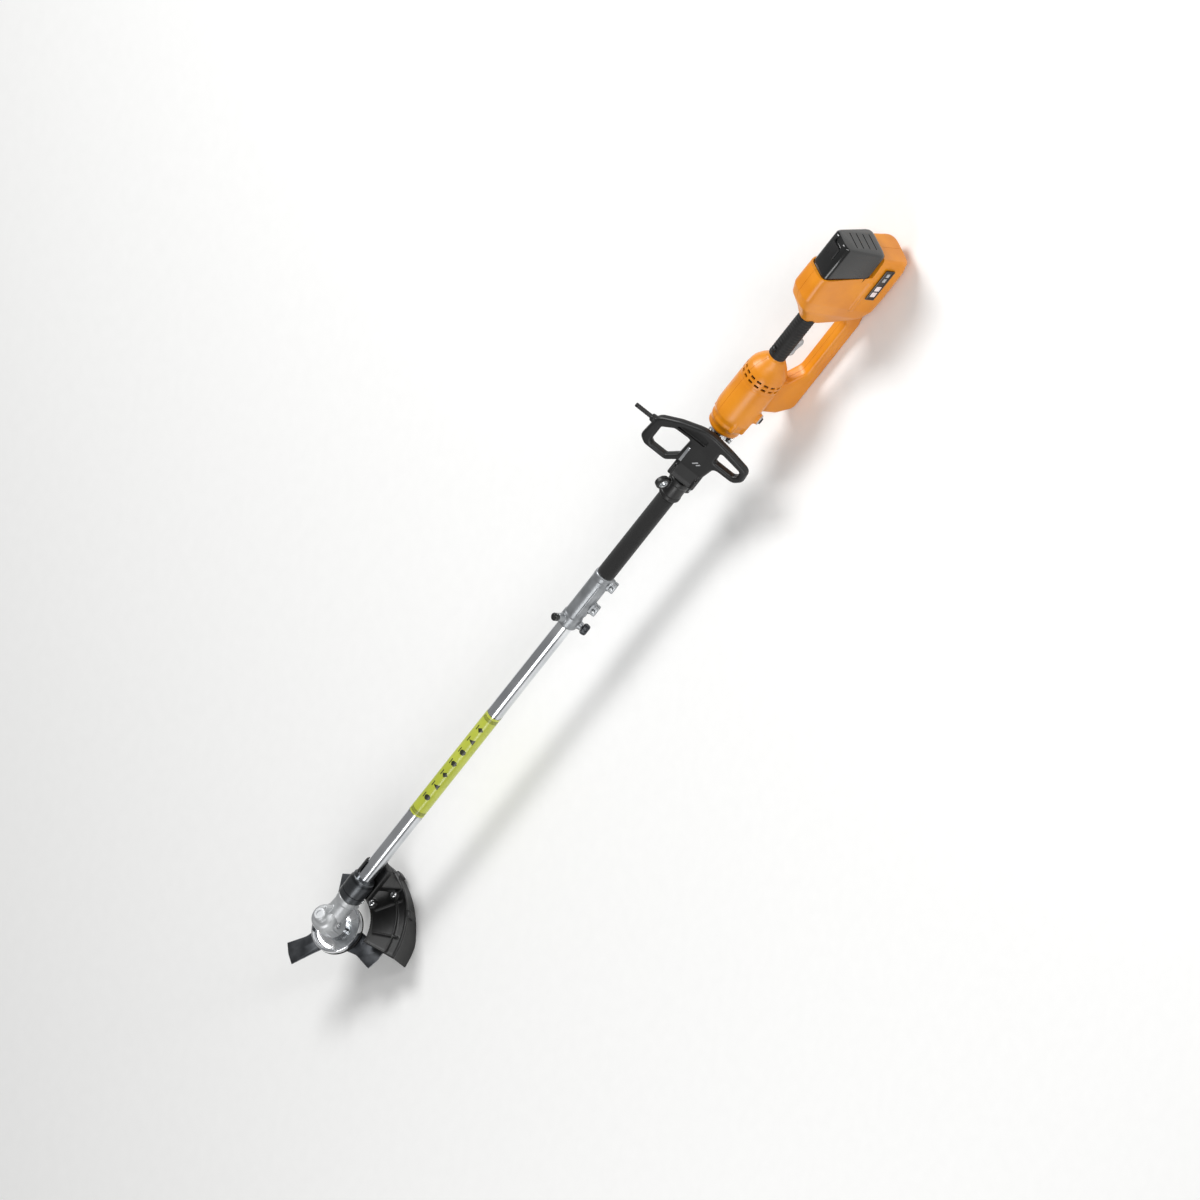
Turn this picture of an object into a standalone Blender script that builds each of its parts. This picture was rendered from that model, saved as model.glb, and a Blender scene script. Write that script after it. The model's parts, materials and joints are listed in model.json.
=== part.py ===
"""Battery brush cutter: a motor unit with a D-handle, a split shaft and a three-tooth cutting head.

Design frame: the shaft axis lies along X and the gear point, where it meets the blade axis, is the
origin of the empty that carries everything. Distances called "back" run rearward from that point,
y is the tool's left and z is up. The object's own frame has z = 0 on the ground under its feet.
"""
import math

import bmesh
import bpy
from mathutils import Matrix, Vector

# Driving dimensions, in metres.
gear_point = Vector((0.8137, -0.0157, 0.1000))  # where shaft axis and blade axis cross
floor_drop = 0.1000  # from the shaft axis down to the ground
gap = 0.0003  # between pieces that touch
blade_tilt = math.radians(27.0)

tube_radius = 0.0140
tube_bore = 0.0125
rough_bore = 0.0120  # a clamp body is turned with this bore, then cut to fit the tube
shaft_radius = 0.0040

tube_front = 0.050
collar_front = 0.064
collar_back = 0.113
coupler_front = 0.766
coupler_back = 0.891
foam_back = 1.093
hanger_back = 1.137
loop_front = 1.145
loop_back = 1.207
nose_collar_front = 1.247
nose_collar_back = 1.2665
grip_front = 1.447
grip_back = 1.552
battery_front = 1.608
battery_back = 1.735
shell_back = 1.726

blade_drop = 0.037  # blade plane below the gear point, along the blade axis
blade_radius = 0.1015
blade_thickness = 0.0020
cup_radius = 0.046
spindle_radius = 0.0060
guard_radius = 0.137
guard_inner_radius = 0.068
collar_radius = 0.0222
guard_bolt_backs = (0.0820, 0.0950)
guard_bolt_seat = 0.0300  # below the shaft axis

grip_height = 0.005
grip_radius = 0.0160
arm_bottom = -floor_drop
arm_half_width = 0.0147

battery_low = -0.024
battery_high = 0.060
battery_half_width = 0.034

loop_middle = 1.176  # where the loop handle stands on the shaft
loop_lean = math.radians(75.0)  # its plane, back from upright
loop_clock = math.radians(-40.0)  # its width direction, turned from the tool's left
loop_height = 0.026
loop_thickness = 0.014


def clear_scene():
    for old in list(bpy.data.objects):
        bpy.data.objects.remove(old, do_unlink=True)


clear_scene()
parts = bpy.data.collections.new("brush_cutter")
cutters = bpy.data.collections.new("cutters")
bpy.context.scene.collection.children.link(parts)
bpy.context.scene.collection.children.link(cutters)


def make_material(name, colour, roughness, metallic=0.0):
    made = bpy.data.materials.new(name)
    made.use_nodes = True
    shader = made.node_tree.nodes["Principled BSDF"]
    shader.inputs["Base Color"].default_value = (*colour, 1.0)
    shader.inputs["Roughness"].default_value = roughness
    shader.inputs["Metallic"].default_value = metallic
    return made


yellow_plastic = (0.80, 0.38, 0.03)
black_plastic = (0.012, 0.012, 0.013)
soft_black = (0.02, 0.02, 0.02)
bright_steel = (0.62, 0.62, 0.63)
cast_metal = (0.50, 0.51, 0.52)
dark_metal = (0.10, 0.10, 0.11)
copper = (0.55, 0.22, 0.10)
board_green = (0.02, 0.12, 0.05)


def empty(name, parent, location=(0, 0, 0), rotation=(0, 0, 0)):
    frame = bpy.data.objects.new(name, None)
    frame.location = location
    frame.rotation_euler = rotation
    frame.parent = parent
    parts.objects.link(frame)
    return frame


tool = empty("tool_frame", None, gear_point)
shaft = empty("shaft_frame", tool, (0, 0, 0), (0, math.radians(90.0), 0))
head = empty("head_frame", tool, (0, 0, 0), (0, -blade_tilt, 0))
loop = empty("loop_frame", tool, (-loop_middle, 0, 0), (loop_clock, 0, 0))


def finish(shape, colour, roughness, metallic=0.0):
    """Give a piece its own material and smooth its round faces."""
    shape.data.materials.clear()
    shape.data.materials.append(make_material(shape.name, colour, roughness, metallic))
    return shape


def add_mesh(name, mesh, parent, location=(0, 0, 0), rotation=(0, 0, 0), cutter=False):
    shape = bpy.data.objects.new(name, mesh)
    shape.parent = parent
    shape.location = location
    shape.rotation_euler = rotation
    if cutter:
        cutters.objects.link(shape)
        shape.hide_render = True
        shape.display_type = "WIRE"
    else:
        parts.objects.link(shape)
    return shape


def from_bmesh(name, shape_mesh):
    mesh = bpy.data.meshes.new(name)
    shape_mesh.to_mesh(mesh)
    shape_mesh.free()
    return mesh


def box(name, size, parent, location=(0, 0, 0), rotation=(0, 0, 0), cutter=False):
    """A block of the given x, y, z size about its own origin."""
    shape_mesh = bmesh.new()
    bmesh.ops.create_cube(shape_mesh, size=1.0, matrix=Matrix.Diagonal((*size, 1.0)))
    return add_mesh(name, from_bmesh(name, shape_mesh), parent, location, rotation, cutter)


def cylinder(name, radius, length, parent, location=(0, 0, 0), rotation=(0, 0, 0),
             sides=20, end_radius=None, cutter=False):
    """A cylinder or cone along its own z, centred on its origin; end_radius is at +z."""
    shape_mesh = bmesh.new()
    end_radius = radius if end_radius is None else end_radius
    bmesh.ops.create_cone(shape_mesh, cap_ends=True, segments=sides, radius1=radius,
                          radius2=end_radius, depth=length)
    mesh = from_bmesh(name, shape_mesh)
    mesh.shade_smooth()
    mesh.set_sharp_from_angle(angle=math.radians(40.0))
    return add_mesh(name, mesh, parent, location, rotation, cutter)


def turned(name, profile, parent, location=(0, 0, 0), rotation=(0, 0, 0),
           sides=24, closed=True, cutter=False):
    """A Screw about z of (radius, z) points, which run down the outer side first."""
    mesh = bpy.data.meshes.new(name)
    count = len(profile)
    edges = [(i, i + 1) for i in range(count - 1)]
    if closed:
        edges.append((count - 1, 0))
    mesh.from_pydata([(radius, 0.0, z) for radius, z in profile], edges, [])
    shape = add_mesh(name, mesh, parent, location, rotation, cutter)
    screw = shape.modifiers.new("Screw", "SCREW")
    screw.steps = sides
    screw.render_steps = sides
    screw.use_merge_vertices = True
    screw.merge_threshold = 0.00001
    screw.use_smooth_shade = False
    return shape


def shaft_ring(name, outer, bore, front, back, sides=24, cutter=False):
    """A plain sleeve on the shaft axis between two distances back."""
    return turned(name, [(outer, -front), (outer, -back), (bore, -back), (bore, -front)],
                  shaft, sides=sides, cutter=cutter)


def shaft_turned(name, outer, bore, sides=24, cutter=False):
    """A sleeve on the shaft axis: outer and bore are (back, radius) lists, front to back."""
    profile = [(radius, -back) for back, radius in outer]
    profile += [(radius, -back) for back, radius in reversed(bore)]
    return turned(name, profile, shaft, sides=sides, cutter=cutter)


def plate(name, loops, thickness, parent, location=(0, 0, 0), rotation=(0, 0, 0), cutter=False):
    """A flat 2D outline, with its holes, as a welded mesh about the outline's plane."""
    curve = bpy.data.curves.new(name, "CURVE")
    curve.dimensions = "2D"
    curve.fill_mode = "BOTH"
    curve.extrude = thickness / 2
    for points in loops:
        spline = curve.splines.new("POLY")
        spline.points.add(len(points) - 1)
        for point, (x, y) in zip(spline.points, points):
            point.co = (x, y, 0.0, 1.0)
        spline.use_cyclic_u = True
    drawn = bpy.data.objects.new(name + "_outline", curve)
    parts.objects.link(drawn)
    bpy.context.view_layer.update()
    evaluated = drawn.evaluated_get(bpy.context.evaluated_depsgraph_get())
    mesh = bpy.data.meshes.new_from_object(evaluated)
    bpy.data.objects.remove(drawn)
    welded = bmesh.new()
    welded.from_mesh(mesh)
    bmesh.ops.remove_doubles(welded, verts=welded.verts, dist=0.00001)
    welded.to_mesh(mesh)
    welded.free()
    mesh.name = name
    return add_mesh(name, mesh, parent, location, rotation, cutter)


def swept(name, points, radius, parent, resolution=2, cutter=False):
    """A round bar along a poly line, welded, with filled ends."""
    curve = bpy.data.curves.new(name, "CURVE")
    curve.dimensions = "3D"
    curve.bevel_depth = radius
    curve.bevel_resolution = resolution
    curve.use_fill_caps = True
    spline = curve.splines.new("POLY")
    spline.points.add(len(points) - 1)
    for point, place in zip(spline.points, points):
        point.co = (*place, 1.0)
    drawn = bpy.data.objects.new(name + "_path", curve)
    parts.objects.link(drawn)
    bpy.context.view_layer.update()
    evaluated = drawn.evaluated_get(bpy.context.evaluated_depsgraph_get())
    mesh = bpy.data.meshes.new_from_object(evaluated)
    bpy.data.objects.remove(drawn)
    welded = bmesh.new()
    welded.from_mesh(mesh)
    bmesh.ops.remove_doubles(welded, verts=welded.verts, dist=0.00001)
    welded.to_mesh(mesh)
    welded.free()
    return add_mesh(name, mesh, parent, cutter=cutter)


def loft(name, sections, parent, cutter=False):
    """A closed skin over loops of equal point counts, with flat ends."""
    shape_mesh = bmesh.new()
    rings = [[shape_mesh.verts.new(point) for point in section] for section in sections]
    count = len(rings[0])
    for near, far in zip(rings, rings[1:]):
        for i in range(count):
            shape_mesh.faces.new((near[i], near[(i + 1) % count], far[(i + 1) % count], far[i]))
    shape_mesh.faces.new(reversed(rings[0]))
    shape_mesh.faces.new(rings[-1])
    bmesh.ops.recalc_face_normals(shape_mesh, faces=shape_mesh.faces)
    return add_mesh(name, from_bmesh(name, shape_mesh), parent, cutter=cutter)


def rounded_outline(corners, steps=4):
    """Corner points (x, y, fillet radius) as a list of points with each corner rounded."""
    points = []
    count = len(corners)
    for i, (x, y, radius) in enumerate(corners):
        corner = Vector((x, y))
        before = Vector(corners[i - 1][:2]) - corner
        after = Vector(corners[(i + 1) % count][:2]) - corner
        if radius == 0.0:
            points.append((x, y))
            continue
        half = before.angle(after) / 2
        reach = min(radius / math.tan(half), before.length * 0.49, after.length * 0.49)
        start = corner + before.normalized() * reach
        end = corner + after.normalized() * reach
        for step in range(steps + 1):
            t = step / steps
            place = start * (1 - t) ** 2 + corner * 2 * t * (1 - t) + end * t ** 2
            points.append((place.x, place.y))
    return points


def box_section(back, half_width, low, high, corner, top_taper=1.0):
    """A rounded rectangle across the shaft, narrower at the top by top_taper, as 3D points."""
    corners = [(-half_width, low, corner), (half_width, low, corner),
               (half_width * top_taper, high, corner), (-half_width * top_taper, high, corner)]
    return [(-back, y, z) for y, z in rounded_outline(corners, 2)]


def boolean(shape, other, operation):
    """Add an exact boolean; the other object becomes a cutter."""
    other.hide_render = True
    other.display_type = "WIRE"
    for group in list(other.users_collection):
        group.objects.unlink(other)
    cutters.objects.link(other)
    change = shape.modifiers.new(operation.title(), "BOOLEAN")
    change.operation = operation
    change.object = other
    change.solver = "EXACT"
    return shape


def cut(shape, *others):
    for other in others:
        boolean(shape, other, "DIFFERENCE")
    return shape


def join(shape, *others):
    for other in others:
        boolean(shape, other, "UNION")
    return shape


def bevel(shape, width, segments=2, angle=40.0):
    edge = shape.modifiers.new("Bevel", "BEVEL")
    edge.width = width
    edge.segments = segments
    edge.limit_method = "ANGLE"
    edge.angle_limit = math.radians(angle)
    return shape


across_y = (math.radians(90.0), 0, 0)  # turns a part's own z onto the tool's y
along_x = (0, math.radians(90.0), 0)


def screw(name, radius, length, head_radius, head_height, parent, location, rotation=(0, 0, 0)):
    """A cap screw: its head stands on +z above the origin, its shank runs down."""
    body = turned(name, [(0.0, head_height), (head_radius, head_height), (head_radius, 0.0),
                         (radius, 0.0), (radius, -length), (0.0, -length)],
                  parent, location, rotation, sides=8, closed=False)
    return finish(body, bright_steel, 0.3, 1.0)


# Cutting head
housing_radius = 0.0240
neck_radius = 0.0185
rear_in_head = Vector((-math.cos(blade_tilt), 0.0, math.sin(blade_tilt)))


def on_shaft_in_head(back):
    return tuple(rear_in_head * back)


shaft_turn_in_head = (0, math.radians(-90.0) + blade_tilt, 0)  # own z runs back along the shaft


def gear_head():
    body = turned("gear_head", [
        (0.0, 0.040), (0.0095, 0.040), (0.0115, 0.038), (0.0115, 0.032), (0.0190, 0.029),
        (0.0235, 0.023), (housing_radius, 0.016), (housing_radius, -0.014), (0.0215, -0.0180),
        (0.0, -0.0180)], head, sides=28, closed=False)
    neck_length = collar_front - gap - 0.010
    neck = cylinder("neck", 0.0200, neck_length, head,
                    on_shaft_in_head(0.010 + neck_length / 2), shaft_turn_in_head,
                    sides=24, end_radius=neck_radius)
    join(body, neck)
    gear_room = cylinder("gear_room", 0.0185, 0.040, head, (0, 0, -0.0030), sides=24,
                         cutter=True)
    top_seat = cylinder("top_seat", 0.0140, 0.0100, head, (0, 0, 0.0178), cutter=True)
    neck_bore = cylinder("neck_bore", tube_radius + gap, 0.040, head,
                         on_shaft_in_head(0.070), shaft_turn_in_head, sides=24, cutter=True)
    bearing_bore = cylinder("bearing_bore", 0.0110, 0.050, head,
                            on_shaft_in_head(0.030), shaft_turn_in_head, sides=24, cutter=True)
    cut(body, gear_room, top_seat, neck_bore, bearing_bore)
    return finish(body, cast_metal, 0.4, 0.9)


def bevel_gear(name, teeth, apex_gap, face_length, inner_tip, outer_tip, depth, bore, parent,
               location, rotation, colour):
    """A straight bevel gear: its own z points away from the apex it shares with its partner."""
    shape_mesh = bmesh.new()
    rings = []
    for height, tip in ((apex_gap, inner_tip), (apex_gap + face_length, outer_tip)):
        ring = []
        for i in range(teeth * 4):
            radius = tip if i % 4 < 2 else tip - depth
            angle = 2 * math.pi * (i + 0.5) / (teeth * 4)
            ring.append(shape_mesh.verts.new((radius * math.cos(angle),
                                              radius * math.sin(angle), height)))
        rings.append(ring)
    count = len(rings[0])
    for i in range(count):
        j = (i + 1) % count
        shape_mesh.faces.new((rings[0][i], rings[0][j], rings[1][j], rings[1][i]))
    shape_mesh.faces.new(reversed(rings[0]))
    shape_mesh.faces.new(rings[1])
    gear = add_mesh(name, from_bmesh(name, shape_mesh), parent, location, rotation)
    hole = cylinder(name + "_bore", bore, 0.1, parent, location, rotation, cutter=True)
    cut(gear, hole)
    return finish(gear, colour, 0.35, 1.0)


def gear_train():
    bevel_gear("bevel_gear", 12, 0.0115, 0.0057, 0.0090, 0.0134, 0.0016, spindle_radius + gap,
               head, (0, 0, 0), (0, 0, 0), bright_steel)
    bevel_gear("drive_pinion", 9, 0.0120, 0.0070, 0.0049, 0.0078, 0.0012, shaft_radius + gap,
               head, (0, 0, 0), shaft_turn_in_head, bright_steel)
    turned("pinion_bearing", [(0.0107, 0.030), (0.0107, 0.023), (shaft_radius + gap, 0.023),
                              (shaft_radius + gap, 0.030)], head, (0, 0, 0),
           shaft_turn_in_head, sides=24)
    finish(bpy.data.objects["pinion_bearing"], bright_steel, 0.25, 1.0)
    ring("spindle_top_bearing", 0.0137, spindle_radius + gap, 0.0225, 0.0175)
    ring("spindle_bearing", 0.0182, spindle_radius + gap, -0.0100, -0.0170)


def ring(name, outer, bore, top, bottom, sides=16):
    made = turned(name, [(outer, top), (outer, bottom), (bore, bottom), (bore, top)],
                  head, sides=sides)
    return finish(made, bright_steel, 0.25, 1.0)


blade_top = -blade_drop + blade_thickness / 2
blade_bottom = -blade_drop - blade_thickness / 2
flange_top = -0.0183


def output_parts():
    spindle = cylinder("output_spindle", spindle_radius, 0.0215 + 0.0500, head,
                       (0, 0, (0.0215 - 0.0500) / 2), sides=24)
    finish(spindle, bright_steel, 0.3, 1.0)
    seat = blade_top + gap
    cup = turned("upper_flange", [
        (cup_radius, -0.0215), (cup_radius, -0.0290), (0.0430, -0.0340), (0.0280, seat),
        (spindle_radius + gap, seat), (spindle_radius + gap, flange_top),
        (0.0120, flange_top), (0.0125, -0.0295), (0.0380, -0.0310), (0.0425, -0.0275),
        (cup_radius - 0.0025, -0.0215)], head, sides=32)
    finish(cup, bright_steel, 0.1, 1.0)
    lower = turned("lower_flange", [
        (0.0250, blade_bottom - gap), (0.0250, -0.0405), (0.0200, -0.0430),
        (spindle_radius + gap, -0.0430), (spindle_radius + gap, blade_bottom - gap)],
        head, sides=24)
    finish(lower, bright_steel, 0.3, 1.0)
    nut = cylinder("blade_nut", 0.0110, 0.0080, head, (0, 0, -0.0473), sides=6)
    cut(nut, cylinder("nut_bore", spindle_radius + gap, 0.03, head, (0, 0, -0.0473),
                      cutter=True))
    finish(nut, bright_steel, 0.3, 1.0)


def blade():
    """Three broad teeth, each leaning into the turn, joined round a central bore."""
    root = 0.030
    half_tip = math.radians(12.0)
    outline = []
    for tooth in range(3):
        middle = math.radians(180.0 - 70.0 - 120.0 * tooth)
        for radius, turn in ((root, half_tip * 3.6), (blade_radius * 0.62, half_tip * 1.55),
                             (blade_radius, half_tip), (blade_radius * 0.985, 0.0),
                             (blade_radius * 0.97, -half_tip),
                             (blade_radius * 0.60, -half_tip * 1.25)):
            angle = middle + turn
            outline.append((radius * math.cos(angle), radius * math.sin(angle)))
    hole = [((spindle_radius + gap) * math.cos(2 * math.pi * i / 24),
             (spindle_radius + gap) * math.sin(2 * math.pi * i / 24)) for i in range(24)]
    made = plate("cutting_blade", [outline, hole], blade_thickness, head, (0, 0, -blade_drop))
    return finish(made, dark_metal, 0.45, 0.9)


def arc(radius, start, end, steps):
    """Points on a circle about the blade axis; 0 degrees is straight back, left is positive."""
    points = []
    for i in range(steps + 1):
        angle = math.radians(180.0 - (start + (end - start) * i / steps))
        points.append((radius * math.cos(angle), radius * math.sin(angle)))
    return points


guard_top = -0.0175
guard_wall = 0.0030
skirt_depth = 0.045


def guard():
    """A fan-shaped plate with a skirt round its outer edge and a tongue up under the tube."""
    fan = arc(guard_radius, -25.0, 62.0, 14) + arc(guard_inner_radius, 62.0, -25.0, 8)
    body = plate("guard", [fan], guard_wall, head, (0, 0, guard_top - guard_wall / 2))
    lap = 0.0010
    skirt_loop = arc(guard_radius - lap, -24.8, 61.8, 14) + arc(guard_radius - 0.0040, 61.8,
                                                                -24.8, 14)
    skirt = plate("skirt", [skirt_loop], skirt_depth, head,
                  (0, 0, guard_top - lap - skirt_depth / 2))
    rib_loop = arc(0.1190, -24.5, 61.5, 14) + arc(0.1160, 61.5, -24.5, 14)
    rib = plate("rib", [rib_loop], 0.0060, head, (0, 0, guard_top + 0.0020))
    join(body, skirt, rib)
    for spread in (-14.0, 16.0, 46.0):
        angle = math.radians(180.0 - spread)
        middle = (guard_radius + guard_inner_radius) / 2
        web = box("web", (guard_radius - guard_inner_radius - 0.016, 0.0030, 0.0080), head,
                  (middle * math.cos(angle), middle * math.sin(angle), guard_top + 0.0010),
                  (0, 0, angle))
        join(body, web)
    tongue = box("tongue", (0.076, 0.038, 0.012), tool, (-0.1130, 0, -0.0240))
    riser = box("riser", (0.012, 0.034, 0.052), tool, (-0.1060, 0, -0.0500))
    join(body, tongue, riser)
    cut(body, cylinder("tongue_seat", collar_radius + gap, 0.5, tool, (-0.1, 0, 0), along_x,
                       cutter=True),
        box("ground", (0.5, 0.5, 0.1), tool, (-0.1, 0, -floor_drop - 0.05), cutter=True))
    for back in guard_bolt_backs:
        cut(body, bolt_way(back))
    return finish(body, black_plastic, 0.5)


def bolt_way(back):
    return cylinder("bolt_way", 0.0022 + gap, 0.030, tool, (-back, 0, -0.0315), sides=12,
                    cutter=True)


def guard_fixing():
    collar = shaft_turned("guard_collar",
                          [(collar_front, 0.0200), (0.067, collar_radius),
                           (0.104, collar_radius), (0.107, 0.0205), (collar_back, 0.0205)],
                          [(collar_front, tube_radius + gap), (collar_back, tube_radius + gap)])
    for i, back in enumerate(guard_bolt_backs):
        cut(collar, bolt_way(back))
        screw(f"guard_bolt_{i + 1}", 0.0022, 0.0130, 0.0042, 0.0038, tool,
              (-back, 0, -guard_bolt_seat - gap), (math.radians(180.0), 0, 0))
    return finish(collar, dark_metal, 0.4, 0.8)


# Shaft
def tubes():
    lower = shaft_ring("lower_tube", tube_radius, tube_bore, tube_front + 0.002, 0.822)
    finish(lower, bright_steel, 0.15, 1.0)
    upper = shaft_ring("upper_tube", tube_radius, tube_bore, 0.8225, 1.262)
    finish(upper, bright_steel, 0.15, 1.0)
    lower_shaft = cylinder("lower_drive_shaft", shaft_radius, 0.822 - 0.0115, shaft,
                           (0, 0, -(0.822 + 0.0115) / 2), sides=16)
    finish(lower_shaft, bright_steel, 0.35, 1.0)
    upper_shaft = turned("upper_drive_shaft",
                         [(0.0, -0.8225), (0.0075, -0.8225), (0.0075, -0.8525),
                          (shaft_radius, -0.8585), (shaft_radius, -1.2880), (0.0, -1.2880)],
                         shaft, sides=16, closed=False)
    finish(upper_shaft, bright_steel, 0.35, 1.0)
    bush = shaft_ring("shaft_bushing", tube_bore - gap, shaft_radius + gap, 0.430, 0.450,
                      sides=24)
    finish(bush, soft_black, 0.6)


def foam_grip():
    made = shaft_turned("foam_grip",
                        [(coupler_back + gap, 0.0145), (0.895, 0.0158), (1.088, 0.0158),
                         (foam_back - gap, 0.0148)],
                        [(coupler_back + gap, tube_radius + gap), (foam_back - gap,
                                                                   tube_radius + gap)])
    return finish(made, soft_black, 0.9)


eye_back = 1.1215
eye_height = 0.0330
hanger_lug_back = 1.115
hanger_screw_drop = 0.0270
hanger_screw_radius = 0.0025


def hanger():
    """The strap hanger: a split ring on the tube with an eye standing on its upper left."""
    middle = -hanger_lug_back
    body = shaft_turned("hanger_clamp",
                        [(foam_back, 0.0185), (1.096, 0.0200), (hanger_back - 0.003, 0.0200),
                         (hanger_back, 0.0185)],
                        [(foam_back, rough_bore), (hanger_back, rough_bore)])
    post = box("eye_post", (0.016, 0.008, 0.020), tool, (-eye_back, 0, 0.0250))
    eye = cylinder("eye", 0.0125, 0.010, tool, (-eye_back, 0, eye_height), across_y, sides=24)
    lug = box("hanger_lug", (0.020, 0.012, 0.018), tool, (middle, 0, -0.0235))
    join(body, post, eye, lug)
    eye_hole = cylinder("eye_hole", 0.0058, 0.03, tool, (-eye_back, 0, eye_height), across_y,
                        sides=20, cutter=True)
    lug_hole = cylinder("lug_hole", hanger_screw_radius + gap, 0.05, tool,
                        (middle, 0, -hanger_screw_drop), across_y, sides=12, cutter=True)
    slit = box("hanger_slit", (0.06, 0.0020, 0.030), tool, (middle, 0, -0.030), cutter=True)
    tube_room = cylinder("tube_room", tube_radius + gap, 0.08, tool, (middle, 0, 0), along_x,
                         sides=24, cutter=True)
    cut(body, eye_hole, lug_hole, slit, tube_room)
    finish(body, black_plastic, 0.5)
    screw("hanger_screw", hanger_screw_radius, 0.0150, 0.0045, 0.0040, tool,
          (middle, -0.0063, -hanger_screw_drop), (math.radians(90.0), 0, 0))


# Coupler
pin_back = 0.778
ears = empty("ear_frame", tool, (0, 0, 0), (math.radians(-40.0), 0, 0))  # own y: left and down
ear_backs = {"front_ear": 0.821, "rear_ear": 0.879}
ear_reach = 0.0225
knob_seat = 0.0240


def coupler():
    """The die-cast joint that holds the two tubes end to end, with clamp ears and a lock pin."""
    body = shaft_turned("coupler_body",
                        [(coupler_front, 0.0170), (0.769, 0.0182), (0.788, 0.0182),
                         (0.792, 0.0168), (coupler_back - 0.002, 0.0168),
                         (coupler_back, 0.0160)],
                        [(coupler_front, rough_bore), (coupler_back, rough_bore)])
    bore = cylinder("coupler_bore", tube_radius + gap, 0.2, tool, (-0.83, 0, 0), along_x,
                    sides=24, cutter=True)
    for name, back in ear_backs.items():
        join(body, box(name, (0.018, 0.020, 0.0150), ears, (-back, 0.0190, 0)))
    join(body, cylinder("pin_boss", 0.0070, 0.014, tool, (-pin_back, 0, 0.0220), sides=20),
         cylinder("knob_boss", 0.0070, 0.012, ears, (-pin_back, 0.0180, 0), across_y, sides=20))
    cut(body, bore)
    for name, back in ear_backs.items():
        cut(body, box(name + "_slit", (0.022, 0.016, 0.0016), ears, (-back, 0.0220, 0),
                      cutter=True),
            cylinder(name + "_hole", 0.0020 + gap, 0.05, ears, (-back, ear_reach, 0), sides=12,
                     cutter=True))
    cut(body,
        cylinder("pin_bore", 0.0030 + gap, 0.03, tool, (-pin_back, 0, 0.030), sides=16,
                 cutter=True),
        cylinder("knob_bore", 0.0030 + gap, 0.03, ears, (-pin_back, 0.0300, 0), across_y,
                 sides=16, cutter=True))
    finish(body, cast_metal, 0.45, 0.7)
    for name, back in ear_backs.items():
        screw(name + "_screw", 0.0020, 0.0150, 0.0036, 0.0036, ears,
              (-back, ear_reach, 0.0075 + gap))
    knob_profile = [(0.0, 0.0125), (0.0060, 0.0125), (0.0095, 0.0105), (0.0105, 0.0060),
                    (0.0105, 0.0030), (0.0080, 0.0), (0.0030, 0.0), (0.0030, -0.0090),
                    (0.0, -0.0090)]
    knob = turned("coupler_knob", knob_profile, ears, (-pin_back, knob_seat + gap, 0),
                  (math.radians(-90.0), 0, 0), sides=24, closed=False)
    finish(knob, dark_metal, 0.5)
    pin_profile = [(0.0, 0.0090), (0.0050, 0.0090), (0.0070, 0.0075), (0.0070, 0.0),
                   (0.0030, 0.0), (0.0030, -0.0125), (0.0, -0.0125)]
    pin = turned("release_pin", pin_profile, tool, (-pin_back, 0, 0.0290 + gap), sides=20,
                 closed=False)
    finish(pin, black_plastic, 0.4)


# Loop handle
# In the loop's plane x is its width, toward the tool's left, and y climbs rearward over the tube.
lean_sine = math.sin(loop_lean)
lean_cosine = math.cos(loop_lean)
plane_turn = Matrix(((0.0, -lean_sine, lean_cosine), (1.0, 0.0, 0.0),
                     (0.0, lean_cosine, lean_sine))).to_euler()
loop_plane = empty("loop_plane", loop, (0, 0, loop_height), plane_turn)
clamp_length = loop_back - loop_front
clamp_half_width = 0.0270
clamp_screw_y = 0.0210
clamp_screw_x = 0.0190
cap_depth = 0.0215
rod_radius = 0.0040
rod_length = 0.0500
rod_height = 0.0440  # up the loop's plane


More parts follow.
